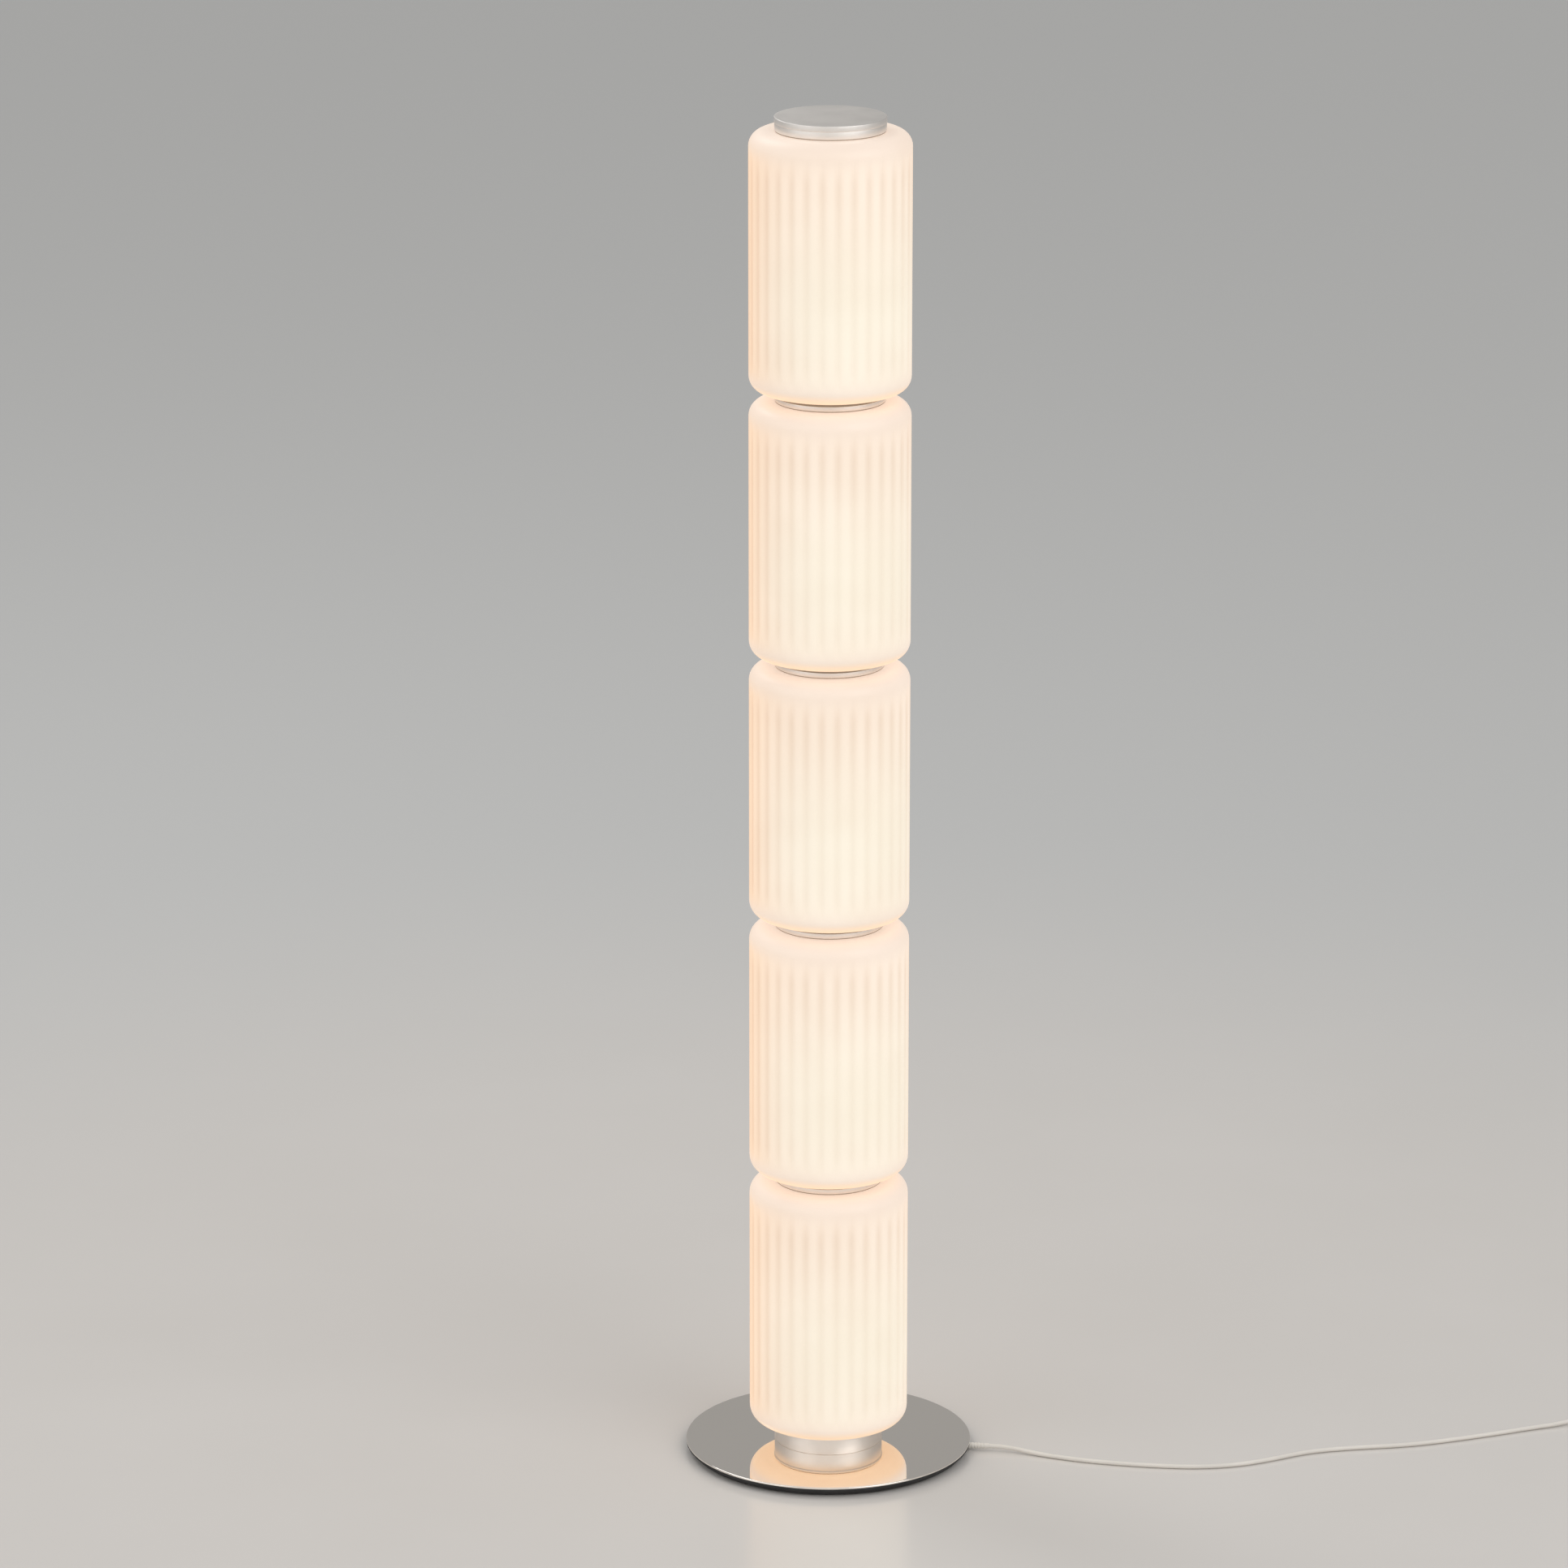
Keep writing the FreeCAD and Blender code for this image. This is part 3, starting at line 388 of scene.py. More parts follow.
def frosted_bulb():
    """Frosted lit bulb with a faintly uneven glow"""
    material, nodes, shader = new_material("Frosted bulb glass")
    point = nodes.object_point()
    grain = use_group(nodes, "Moulded Grain", Vector=point, Scale=900.0, Smooth=0.3, Rough=0.45)
    nodes.link(nodes.mix(grain["Mottle"], (1.0, 0.86, 0.62, 1.0), (1.0, 0.93, 0.78, 1.0)),
               shader.inputs["Emission Color"])
    shader.inputs["Emission Strength"].default_value = 1.4
    nodes.link(nodes.mix(grain["Mottle"], (0.85, 0.83, 0.78, 1.0), (0.9, 0.88, 0.84, 1.0)),
               shader.inputs["Base Color"])
    nodes.link(grain["Roughness"], shader.inputs["Roughness"])
    add_bump(nodes, shader, grain["Height"], 0.00005, 0.5)
    return material


def turned_metal(name, colour, fine, coarse, line_scale=2600.0, depth=0.00002):
    """Metal with circular polishing lines and a faint tarnish"""
    material, nodes, shader = new_material(name)
    point = nodes.object_point()
    lines = use_group(nodes, "Turned Lines", Vector=point, Line_Scale=line_scale, Fine=fine,
                      Coarse=coarse)
    nodes.link(nodes.mix(nodes.ramp(lines["Tarnish"], 0.35, 0.7), colour, shaded(colour, 0.94)),
               shader.inputs["Base Color"])
    shader.inputs["Metallic"].default_value = 1.0
    nodes.link(lines["Roughness"], shader.inputs["Roughness"])
    add_bump(nodes, shader, lines["Height"], depth, 0.5)
    return material


def mirror_chrome():
    """Mirror polished plate with the faintest haze of wiping marks"""
    material, nodes, shader = new_material("Mirror chrome")
    point = nodes.object_point()
    grain = use_group(nodes, "Moulded Grain", Vector=point, Scale=70.0, Smooth=0.015, Rough=0.05)
    colour = tuple(colours().chrome)
    nodes.link(nodes.mix(grain["Mottle"], colour, shaded(colour, 0.95)),
               shader.inputs["Base Color"])
    shader.inputs["Metallic"].default_value = 1.0
    nodes.link(grain["Roughness"], shader.inputs["Roughness"])
    return material


def moulded(name, colour, smooth=0.3, rough=0.45, scale=900.0, depth=0.00004, shade=0.9):
    """Moulded plastic or rubber with a fine sparked grain and slightly uneven colour"""
    material, nodes, shader = new_material(name)
    point = nodes.object_point()
    grain = use_group(nodes, "Moulded Grain", Vector=point, Scale=scale, Smooth=smooth, Rough=rough)
    nodes.link(nodes.mix(nodes.ramp(grain["Mottle"], 0.3, 0.7), shaded(colour, 1.0),
                         shaded(colour, shade)), shader.inputs["Base Color"])
    nodes.link(grain["Roughness"], shader.inputs["Roughness"])
    add_bump(nodes, shader, grain["Height"], depth, 0.6)
    return material


def woven_strap():
    """Woven strap with crossed threads, its colour painted darker in the gaps between them as shade
    """
    material, nodes, shader = new_material("Woven strap")
    threads = 5200.0
    # Gaps between threads are darker than the crests: painted shade in the weave
    shaded_thread_gap = (0.015, 0.015, 0.016, 1.0)
    thread_crest = (0.06, 0.06, 0.062, 1.0)
    x, y, z = nodes.split(nodes.object_point())
    weft = nodes.math("ADD", z, nodes.math("SUBTRACT", x, y))
    across = nodes.math("SINE", nodes.math("MULTIPLY", nodes.math("ADD", x, y), threads))
    along = nodes.math("SINE", nodes.math("MULTIPLY", weft, threads))
    weave = nodes.math("MULTIPLY", across, along)
    nodes.link(nodes.mix(nodes.ramp(weave, -1.0, 1.0), shaded_thread_gap, thread_crest),
               shader.inputs["Base Color"])
    nodes.link(nodes.ramp(weave, -1.0, 1.0, 0.75, 0.95), shader.inputs["Roughness"])
    add_bump(nodes, shader, weave, 0.0002, 0.8)
    return material


# Name, colour, finest and coarsest roughness, then lines to a metre and their depth.
TURNED_METALS = {
    "steel_tube": ("Drawn steel tube", (0.55, 0.55, 0.56, 1.0), 0.25, 0.4, 1500.0),
    "zinc_steel": ("Bright zinc", (0.62, 0.63, 0.62, 1.0), 0.28, 0.45, 900.0, 0.00004),
    "bulb_brass": ("Stamped brass", (0.72, 0.52, 0.24, 1.0), 0.22, 0.36, 1400.0),
    "pin_nickel": ("Nickel plated pin", (0.72, 0.69, 0.64, 1.0), 0.15, 0.28, 1800.0),
}

# Name, colour, least and most roughness, then the grain's scale and depth and its dark share.
MOULDINGS = {
    # This rubber also dresses the skirt under the base's rim, where its black is painted shadow
    "pad_rubber": ("Foam rubber", (0.035, 0.035, 0.036), 0.8, 0.95, 1500.0, 0.0002, 0.7),
    # The silicone is darkened so the rings on the spacer discs read as shadow: painted shade
    "gasket_silicone": ("Fawn silicone", (0.40, 0.33, 0.26), 0.5, 0.65, 700.0),
    "holder_plastic": ("Heat resistant moulding", (0.78, 0.76, 0.71), 0.35, 0.5),
    "switch_plastic": ("Cream moulding", (0.76, 0.73, 0.67), 0.25, 0.38, 1300.0),
    "button_plastic": ("Polished moulding", (0.62, 0.59, 0.54), 0.15, 0.25, 900.0, 0.00002),
    "contact_plastic": ("Dark moulding", (0.04, 0.04, 0.042), 0.4, 0.55),
}


def build_materials():
    build_grain_group()
    build_turned_group()
    build_rib_group()
    nickel = tuple(colours().nickel)
    made = {slot: turned_metal(*row) for slot, row in TURNED_METALS.items()}
    made.update({slot: moulded(*row) for slot, row in MOULDINGS.items()})
    made["opal_glass"] = opal_glass()
    made["bulb_glass"] = frosted_bulb()
    made["satin_nickel"] = turned_metal("Satin nickel", nickel, 0.46, 0.56, depth=0.000004)
    made["mirror_chrome"] = mirror_chrome()
    made["cord_pvc"] = moulded("Lead sheath", colours().lead, 0.32, 0.46, 500.0, 0.00003, 0.93)
    made["tie_fabric"] = woven_strap()
    return made


MATERIALS = {}


def dress(piece, slot_name, body=LAMP, stands_for=()):
    """Gives a finished piece its material and its body, and hides the frame nodes it stands for"""
    piece.data.materials.clear()
    piece.data.materials.append(MATERIALS[slot_name])
    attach(piece, body)
    if stands_for:
        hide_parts(*stands_for)
    return piece


# ------------------------------------------------------------ modelling helpers
SMALLEST_RING = 0.000001
DOUBLES_DISTANCE = 0.000005


def object_mode():
    if bpy.context.object and bpy.context.object.mode != "OBJECT":
        bpy.ops.object.mode_set(mode="OBJECT")


def select_none():
    object_mode()
    bpy.ops.object.select_all(action="DESELECT")


def select_only(piece):
    select_none()
    piece.select_set(True)
    bpy.context.view_layer.objects.active = piece


def finish_piece(piece, angle=35.0, outward=True):
    """Merges doubles, turns the faces outwards, smooths the shading and fixes the piece in place"""
    select_only(piece)
    bpy.ops.object.mode_set(mode="EDIT")
    bpy.ops.mesh.select_all(action="SELECT")
    bpy.ops.mesh.remove_doubles(threshold=DOUBLES_DISTANCE)
    if outward:
        bpy.ops.mesh.normals_make_consistent(inside=False)
    bpy.ops.object.mode_set(mode="OBJECT")
    bpy.ops.object.transform_apply(location=True, rotation=True, scale=True)
    bpy.ops.object.shade_smooth_by_angle(angle=math.radians(angle))
    piece.select_set(False)
    return piece


def lathe(name, profile, segments=128, closed=False):
    """Draws a ring up a profile of (radius, height) steps by extruding and scaling it.
    A closed profile ends on its first ring; otherwise zero radii close the ends."""
    select_none()
    steps = [(max(radius, SMALLEST_RING), height) for radius, height in profile]
    bpy.ops.mesh.primitive_circle_add(vertices=segments, radius=steps[0][0], fill_type="NOTHING",
                                      location=(0, 0, 0))
    piece = bpy.context.object
    piece.name = name
    piece.data.name = name
    bpy.ops.object.mode_set(mode="EDIT")
    bpy.ops.mesh.select_mode(type="EDGE")
    bpy.ops.mesh.select_all(action="SELECT")
    bpy.ops.transform.translate(value=(0, 0, steps[0][1]))
    if closed:
        steps.append(steps[0])
    for (radius, height), (next_radius, next_height) in zip(steps, steps[1:]):
        bpy.ops.mesh.extrude_region_move(
            TRANSFORM_OT_translate={"value": (0, 0, next_height - height)})
        scale = next_radius / radius
        bpy.ops.transform.resize(value=(scale, scale, 1), center_override=(0, 0, next_height))
    bpy.ops.object.mode_set(mode="OBJECT")
    return piece


def arc_steps(centre, radius, start, end, count):
    """Profile steps round part of a circle; angles in degrees from the outward direction"""
    steps = []
    for index in range(count + 1):
        angle = math.radians(start + (end - start) * index / count)
        steps.append((centre[0] + radius * math.cos(angle), centre[1] + radius * math.sin(angle)))
    return steps


def place(piece, offset=(0, 0, 0), heading=0.0, tilt=0.0):
    """Turns a piece about its origin and moves it to its place"""
    piece.rotation_euler = (0, tilt, heading)
    piece.location = offset
    return piece


def turn_piece(name, profile, segments, slot_name, body=LAMP, stands_for=(), closed=False,
               angle=35.0, offset=(0, 0, 0), heading=0.0, tilt=0.0):
    """Lathes a piece, turns and moves it to its place, finishes it and dresses it"""
    piece = place(lathe(name, profile, segments, closed), offset, heading, tilt)
    return dress(finish_piece(piece, angle), slot_name, body, stands_for)


def set_down(piece, offset):
    """Moves a finished piece and keeps the place in its mesh"""
    select_only(piece)
    piece.location = offset
    bpy.ops.object.transform_apply(location=True, rotation=False, scale=False)
    piece.select_set(False)


def copy_piece(piece, name, offset):
    """A copy with its own mesh, moved to its place"""
    twin = piece.copy()
    twin.data = piece.data.copy()
    twin.name = name
    twin.data.name = name
    bpy.context.scene.collection.objects.link(twin)
    set_down(twin, offset)
    return twin


def resize_where(piece, chosen, scale):
    """Scales the chosen vertices about the lamp's axis"""
    for vertex in piece.data.vertices:
        vertex.select = chosen(vertex.co)
    select_only(piece)
    bpy.ops.object.mode_set(mode="EDIT")
    bpy.ops.transform.resize(value=(scale, scale, 1), center_override=(0, 0, 0))
    bpy.ops.object.mode_set(mode="OBJECT")


# ------------------------------------------------------------ shades
RIB_FACETS = 10
RIM_STEPS = 9
FADE_RINGS = 4
WALL_RINGS = 12
MOUTH_SOFT = 0.6 * MM


def shade_profile():
    """Closed section of one shade about height 0: outside, then the inner wall back down"""
    size = sizes()
    radius, corner, mouth, wall = (size.shade_radius, size.shade_corner, size.shade_mouth,
                                   size.shade_wall)
    edge = radius - corner
    soft = MOUTH_SOFT
    outside = [(mouth, soft), (mouth + soft, 0.0), (edge - soft, 0.0)]
    outside += arc_steps((edge, corner), corner, -90, 0, RIM_STEPS)
    for fade in range(1, FADE_RINGS + 1):
        outside.append((radius, corner + size.rib_fade * fade / FADE_RINGS))
    top_start = SHADE_HEIGHT - corner - size.rib_fade
    for ring in range(1, WALL_RINGS):
        rise = (top_start - corner - size.rib_fade) * ring / WALL_RINGS
        outside.append((radius, corner + size.rib_fade + rise))
    for fade in range(FADE_RINGS):
        outside.append((radius, top_start + size.rib_fade * fade / FADE_RINGS))
    outside += arc_steps((edge, SHADE_HEIGHT - corner), corner, 0, 90, RIM_STEPS)
    outside += [(edge - soft, SHADE_HEIGHT), (mouth + soft, SHADE_HEIGHT),
                (mouth, SHADE_HEIGHT - soft)]
    inner = radius - size.rib_depth - wall
    inner_corner = corner - wall
    inside = [(mouth, SHADE_HEIGHT - wall)]
    inside += arc_steps((inner - inner_corner, SHADE_HEIGHT - corner), inner_corner, 90, 0, 4)
    inside += arc_steps((inner - inner_corner, corner), inner_corner, 0, -90, 4)
    inside.append((mouth, wall))
    return outside + inside


def rib_strength(height):
    """How much of the full rib depth a shade has at a height above its bottom"""
    size = sizes()
    end = min(height, SHADE_HEIGHT - height) - size.shade_corner * 0.75
    share = min(1.0, max(0.0, end / (size.rib_fade + size.shade_corner * 0.25)))
    return share * share * (3 - 2 * share)


def cut_ribs(piece):
    """Draws the outer wall in between the crests, ring by ring"""
    size = sizes()
    step = 2 * math.pi / size.rib_count
    inner_limit = size.shade_radius - size.rib_depth - 0.5 * size.shade_wall
    heights = sorted({round(vertex.co.z, 6) for vertex in piece.data.vertices
                      if vertex.co.xy.length > inner_limit})
    strengths = {}
    for height in heights:
        strengths.setdefault(round(rib_strength(height), 4), []).append(height)
    for strength, group in strengths.items():
        if strength <= 0:
            continue
        levels = set(group)
        for facet in range(1, RIB_FACETS // 2 + 1):
            across = facet / (RIB_FACETS / 2)
            depth = size.rib_depth * strength * across ** 2

            def on_facet(point):
                if point.xy.length < inner_limit or round(point.z, 6) not in levels:
                    return False
                turn = math.atan2(point.y, point.x) / step
                return abs(abs(turn - round(turn)) * 2 - across) < 0.05

            resize_where(piece, on_facet, 1 - depth / size.shade_radius)


class LAMP_OT_shades(bpy.types.Operator):
    """Model one ribbed shade and stand its copies in their tiers"""

    bl_idname = "lamp.shades"
    bl_label = "Ribbed shades"

    def execute(self, context):
        facets = sizes().rib_count * RIB_FACETS
        first = lathe("glass_shade_1", shade_profile(), facets, closed=True)
        cut_ribs(first)
        finish_piece(first, angle=60.0)
        for tier in range(2, TIERS + 1):
            node = f"shade_{tier}"
            twin = copy_piece(first, f"glass_shade_{tier}", (0, 0, height_range(node)[0]))
            dress(twin, "opal_glass", TOP_SHADE if tier == TIERS else LAMP, [node])
        set_down(first, (0, 0, SHADE_BOTTOM))
        dress(first, "opal_glass", LAMP, ["shade_1"])
        return {"FINISHED"}


# ------------------------------------------------------------ metal discs, collar and cap
SOFT_RIM = 0.4 * MM
SPIGOT_CLEARANCE = 0.7 * MM
SPIGOT_WALL = 2.5 * MM
SPIGOT_HEIGHT = 5 * MM
DISC_PLATE = 5.4 * MM
DISC_BORE_SHARE = 0.6
NECK_STEP = 1.0 * MM
SHADOW_SEAL_INSET = 0.8 * MM
SHADOW_SEAL_GAP = 0.05 * MM
COLLAR_WALL = 2 * MM
CAP_BORE = 5.25 * MM
CAP_ROUND = 0.8 * MM
DISC_SEGMENTS = 160


def disc_profile(radius, bottom, top, bore=0.0):
    """Section of a turned disc with softened rims"""
    inset = radius - SOFT_RIM
    steps = [(bore, bottom), (inset, bottom)]
    steps += arc_steps((inset, bottom + SOFT_RIM), SOFT_RIM, -90, 0, 3)
    steps += arc_steps((inset, top - SOFT_RIM), SOFT_RIM, 0, 90, 3)
    steps.append((bore, top))
    return steps


def spigot_radii():
    """Outer and inner radius of the rings that centre a shade's mouth"""
    outer = sizes().shade_mouth - SPIGOT_CLEARANCE
    return outer, outer - SPIGOT_WALL


class LAMP_OT_discs(bpy.types.Operator):
    """Turn the spacer discs, the collar with its lip, and the two-layer cap"""

    bl_idname = "lamp.discs"
    bl_label = "Discs, collar and cap"

    def execute(self, context):
        for tier in range(1, TIERS):
            self.spacer(tier)
        profile = disc_profile(DISC_RADIUS, *height_range("collar"), DISC_RADIUS - COLLAR_WALL)
        self.nickel("turned_collar", profile, "collar")
        self.lip()
        self.cap()
        return {"FINISHED"}

    def nickel(self, name, profile, node, body=LAMP, closed=True):
        turn_piece(name, profile, DISC_SEGMENTS, "satin_nickel", body, [node], closed)

    def spacer(self, tier):
        """A disc with a spigot on each face, and a dark silicone ring round its neck: a real buffer
        ring whose darkness is painted shade, the shadow under the shade above
        """
        outer, inner = spigot_radii()
        low, high = height_range(f"spacer_disc_{tier}")
        bottom = low + SPIGOT_HEIGHT
        top = high - SPIGOT_HEIGHT
        bore = outer_radius("stem_tube_2") * DISC_BORE_SHARE
        step = bottom + DISC_PLATE
        neck = sizes().shade_mouth + NECK_STEP
        profile = [(bore, bottom), (inner, bottom), (inner, low), (outer, low), (outer, bottom)]
        profile += disc_profile(DISC_RADIUS, bottom, step)[1:-1]
        profile += [(neck, step), (neck, top), (outer, top), (outer, high), (inner, high),
                    (inner, top), (bore, top)]
        self.nickel(f"turned_disc_{tier}", profile, f"spacer_disc_{tier}")
        # The dark ring stands in for the shadow under the shade above: painted shade on a real
        # buffer ring
        shadow_seal = disc_profile(DISC_RADIUS - SHADOW_SEAL_INSET, step + SHADOW_SEAL_GAP, top, neck + SHADOW_SEAL_GAP)
        turn_piece(f"seal_ring_{tier}", shadow_seal, DISC_SEGMENTS, "gasket_silicone", closed=True)

    def lip(self):
        """The thin plate on the collar, with the lowest shade's spigot"""
        outer, inner = spigot_radii()
        stem = outer_radius("stem_tube_2")
        low, high = height_range("bottom_seat")
        top = high - SPIGOT_HEIGHT
        profile = disc_profile(outer_radius("bottom_seat"), low, top, stem)[:-1]
        profile += [(outer, top), (outer, high), (inner, high), (inner, top), (stem, top)]
        self.nickel("collar_lip", profile, "bottom_seat")

    def cap(self):
        """The seat on the top shade and the lid on it"""
        outer, inner = spigot_radii()
        low, high = height_range("top_seat")
        bottom = low + SPIGOT_HEIGHT
        profile = [(CAP_BORE, bottom), (inner, bottom), (inner, low), (outer, low), (outer, bottom)]
        profile += disc_profile(DISC_RADIUS, bottom, high)[1:-1]
        profile.append((CAP_BORE, high))
        self.nickel("cap_seat", profile, "top_seat", CAP)
        low, high = height_range("top_cap")
        radius = outer_radius("top_cap")
        profile = [(0, low), (radius - SOFT_RIM, low)]
        profile += arc_steps((radius - SOFT_RIM, low + SOFT_RIM), SOFT_RIM, -90, 0, 3)
        profile += arc_steps((radius - CAP_ROUND, high - CAP_ROUND), CAP_ROUND, 0, 90, 5)
        profile.append((0, high))
        self.nickel("cap_lid", profile, "top_cap", CAP, closed=False)


# ------------------------------------------------------------ base
BASE_BORE = 5.0 * MM
BASE_PLATE = 2 * MM
BASE_ROUND = 1.0 * MM
BASE_SOFT = 0.3 * MM
BASE_BAND = 3 * MM
BASE_UNDERCUT = 6.0 * MM
BASE_SEGMENTS = 256
PAD_ROUND = 0.7 * MM


class LAMP_OT_base(bpy.types.Operator):
    """Turn the mirror plate, the black undercut skirt below it, whose black is painted shadow under
    the rim, and the foam pad
    """

    bl_idname = "lamp.base"
    bl_label = "Mirror base"

    def execute(self, context):
        low, high = height_range("base_disc")
        radius = outer_radius("base_disc")
        foot = outer_radius("foot_pad")
        seam = high - BASE_PLATE
        band = radius - BASE_BAND
        edge = radius - BASE_SOFT
        profile = [(BASE_BORE, seam), (DISC_RADIUS, seam), (band, seam), (edge, seam)]
        profile += arc_steps((edge, seam + BASE_SOFT), BASE_SOFT, -90, 0, 2)
        profile += arc_steps((radius - BASE_ROUND, high - BASE_ROUND), BASE_ROUND, 0, 90, 6)
        profile += [(band, high), (radius * 0.7, high), (DISC_RADIUS, high), (BASE_BORE, high)]
        turn_piece("mirror_base", profile, BASE_SEGMENTS, "mirror_chrome", LAMP, ["base_disc"],
                   closed=True)
        # The skirt's black stands in for the shadow under the rim: painted shadow, made as a dark
        # rubber trim
        profile = [(BASE_BORE, low), (foot, low), (radius - BASE_UNDERCUT - BASE_SOFT, low),
                   (radius - BASE_UNDERCUT + BASE_SOFT, low + BASE_SOFT),
                   (edge, low + BASE_UNDERCUT), (edge, seam), (foot, seam), (BASE_BORE, seam)]
        turn_piece("base_skirt", profile, BASE_SEGMENTS, "pad_rubber", closed=True)
        low, high = height_range("foot_pad")
        profile = [(0, low), (foot * 0.5, low), (foot - PAD_ROUND, low)]
        profile += arc_steps((foot - PAD_ROUND, low + PAD_ROUND), PAD_ROUND, -90, 0, 4)
        profile += [(foot, high), (foot * 0.5, high), (0, high)]
        turn_piece("foam_pad", profile, 128, "pad_rubber", LAMP, ["foot_pad"])
        return {"FINISHED"}


# ------------------------------------------------------------ lead
EXIT_HEADING = -5.0
SWITCH_HEADING = 22.0
COIL_HEADING = 22.0
TAIL_TURN = 8.0
SWITCH_CENTRE = (0.927, 0.0995)
SWITCH_REACH = 0.044
SWITCH_RUN = 0.012
SWITCH_CORD_HEIGHT = 0.0055
RELIEF_END = 0.185
EXIT_RUN = 0.020
EXIT_HEIGHT = 0.006
COIL_START = (1.012, 0.1335)
COIL_LEVEL = 0.0034
COIL_UPPER_LEVEL = 0.0089
COIL_INNER_RADIUS = 0.0206
COIL_STEP = 0.0028
COIL_HALF_TURNS = 6
COIL_END_RUN = 0.005
TAIL_RUN = 0.013
PLUG_LEVEL = 0.007
POINTS_PER_HALF_TURN = 12
RELIEF_LENGTH = 22 * MM
RELIEF_INSIDE = 14 * MM
SWITCH_SLEEVE = 14 * MM
SLEEVE_TIP = 3.2 * MM
SLEEVE_OVERLAP = 1 * MM
SLEEVE_SEGMENTS = 48
QUARTER_TURN = math.pi / 2

LAMP_LEAD_POINTS = [
    (0.240, -0.033, 0.0027), (0.289, -0.052, 0.0026), (0.346, -0.0645, 0.0026),
    (0.403, -0.0715, 0.0026), (0.441, -0.070, 0.0026), (0.477, -0.061, 0.0026),
    (0.513, -0.0435, 0.0026), (0.549, -0.023, 0.0026), (0.600, -0.0105, 0.0026),
    (0.667, -0.0015, 0.0026), (0.721, 0.0165, 0.0026), (0.771, 0.036, 0.0026),
    (0.814, 0.0545, 0.0026), (0.842, 0.064, 0.0030),
]


def heading_vector(degrees):
    angle = math.radians(degrees)
    return Vector((math.cos(angle), math.sin(angle), 0))


def relief_tip(run=0.0):
    return heading_vector(EXIT_HEADING) * (RELIEF_END + run) + Vector((0, 0, EXIT_HEIGHT))


def switch_end(side, run=0.0):
    spot = heading_vector(SWITCH_HEADING) * (side * (SWITCH_REACH + run))
    return Vector((*SWITCH_CENTRE, SWITCH_CORD_HEIGHT)) + spot


def coil_point(along, across, level):
    forward = heading_vector(COIL_HEADING)
    right = heading_vector(COIL_HEADING - 90)
    return Vector((COIL_START[0], COIL_START[1], level)) + forward * along + right * across


def coil_points():
    """Half turns that spiral in on the floor, climb once, and spiral out on top"""
    outer = COIL_INNER_RADIUS + COIL_STEP * COIL_HALF_TURNS
    radii = [outer - COIL_STEP * count for count in range(COIL_HALF_TURNS)]
    radii.append(COIL_INNER_RADIUS)
    radii += [COIL_INNER_RADIUS + COIL_STEP * (count + 1) for count in range(COIL_HALF_TURNS)]
    points = [coil_point(-COIL_END_RUN, 0, COIL_LEVEL), coil_point(0, 0, COIL_LEVEL)]
    side = 1
    across = 0.0
    level = COIL_LEVEL
    for count, radius in enumerate(radii):
        next_level = COIL_UPPER_LEVEL if count >= COIL_HALF_TURNS else COIL_LEVEL
        centre = across + side * radius
        for index in range(1, POINTS_PER_HALF_TURN + 1):
            angle = math.pi * index / POINTS_PER_HALF_TURN
            share = (1 - math.cos(angle)) / 2
            points.append(coil_point(side * radius * math.sin(angle),
                                     centre - side * radius * math.cos(angle),
                                     level + (next_level - level) * share))
        across += side * 2 * radius
        side = -side
        level = next_level
    points.append(coil_point(-COIL_END_RUN, across, level))
    return points


def tail_points(start):
    heading = COIL_HEADING + 180
    points = []
    spot = start
    for level in (COIL_UPPER_LEVEL, PLUG_LEVEL, PLUG_LEVEL):
        spot = spot + heading_vector(heading) * TAIL_RUN
        spot.z = level
        points.append(spot.copy())
        heading += TAIL_TURN
    return points, heading - TAIL_TURN


def lead_curve(name, points):
    """A round lead along one smooth open spline"""
    curve = bpy.data.curves.new(name, "CURVE")
    curve.dimensions = "3D"
    spline = curve.splines.new("NURBS")
    spline.points.add(len(points) - 1)
    for target, point in zip(spline.points, points):
        target.co = (point[0], point[1], point[2], 1)
    spline.order_u = 3
    spline.use_endpoint_u = True
    spline.resolution_u = 8
    spline.use_smooth = True
    curve.bevel_depth = sizes().cord_diameter / 2
    curve.bevel_resolution = 6
    curve.use_fill_caps = True
    piece = bpy.data.objects.new(name, curve)
    bpy.context.scene.collection.objects.link(piece)
    return piece


def sleeve_profile(start_radius, length, grooves, end_radius=SLEEVE_TIP):
    """Section of a tapered bend sleeve with shallow grooves, along Z from its thick end"""
    plain = 0.14
    sunk = 0.14
    steps = [(0, 0), (start_radius * 0.96, 0), (start_radius, 0.03 * length)]
    for groove in range(grooves):
        for share, sink in ((0.0, 0.0), (0.55, 0.0), (0.65, sunk), (0.9, sunk)):
            along = plain + (1 - 2 * plain) * (groove + share) / grooves
            radius = start_radius + (end_radius - start_radius) * along
            steps.append((radius * (1 - sink), along * length))
    steps += [(end_radius * 1.02, (1 - plain) * length), (end_radius, 0.97 * length),
              (end_radius * 0.94, length), (0, length)]
    return steps


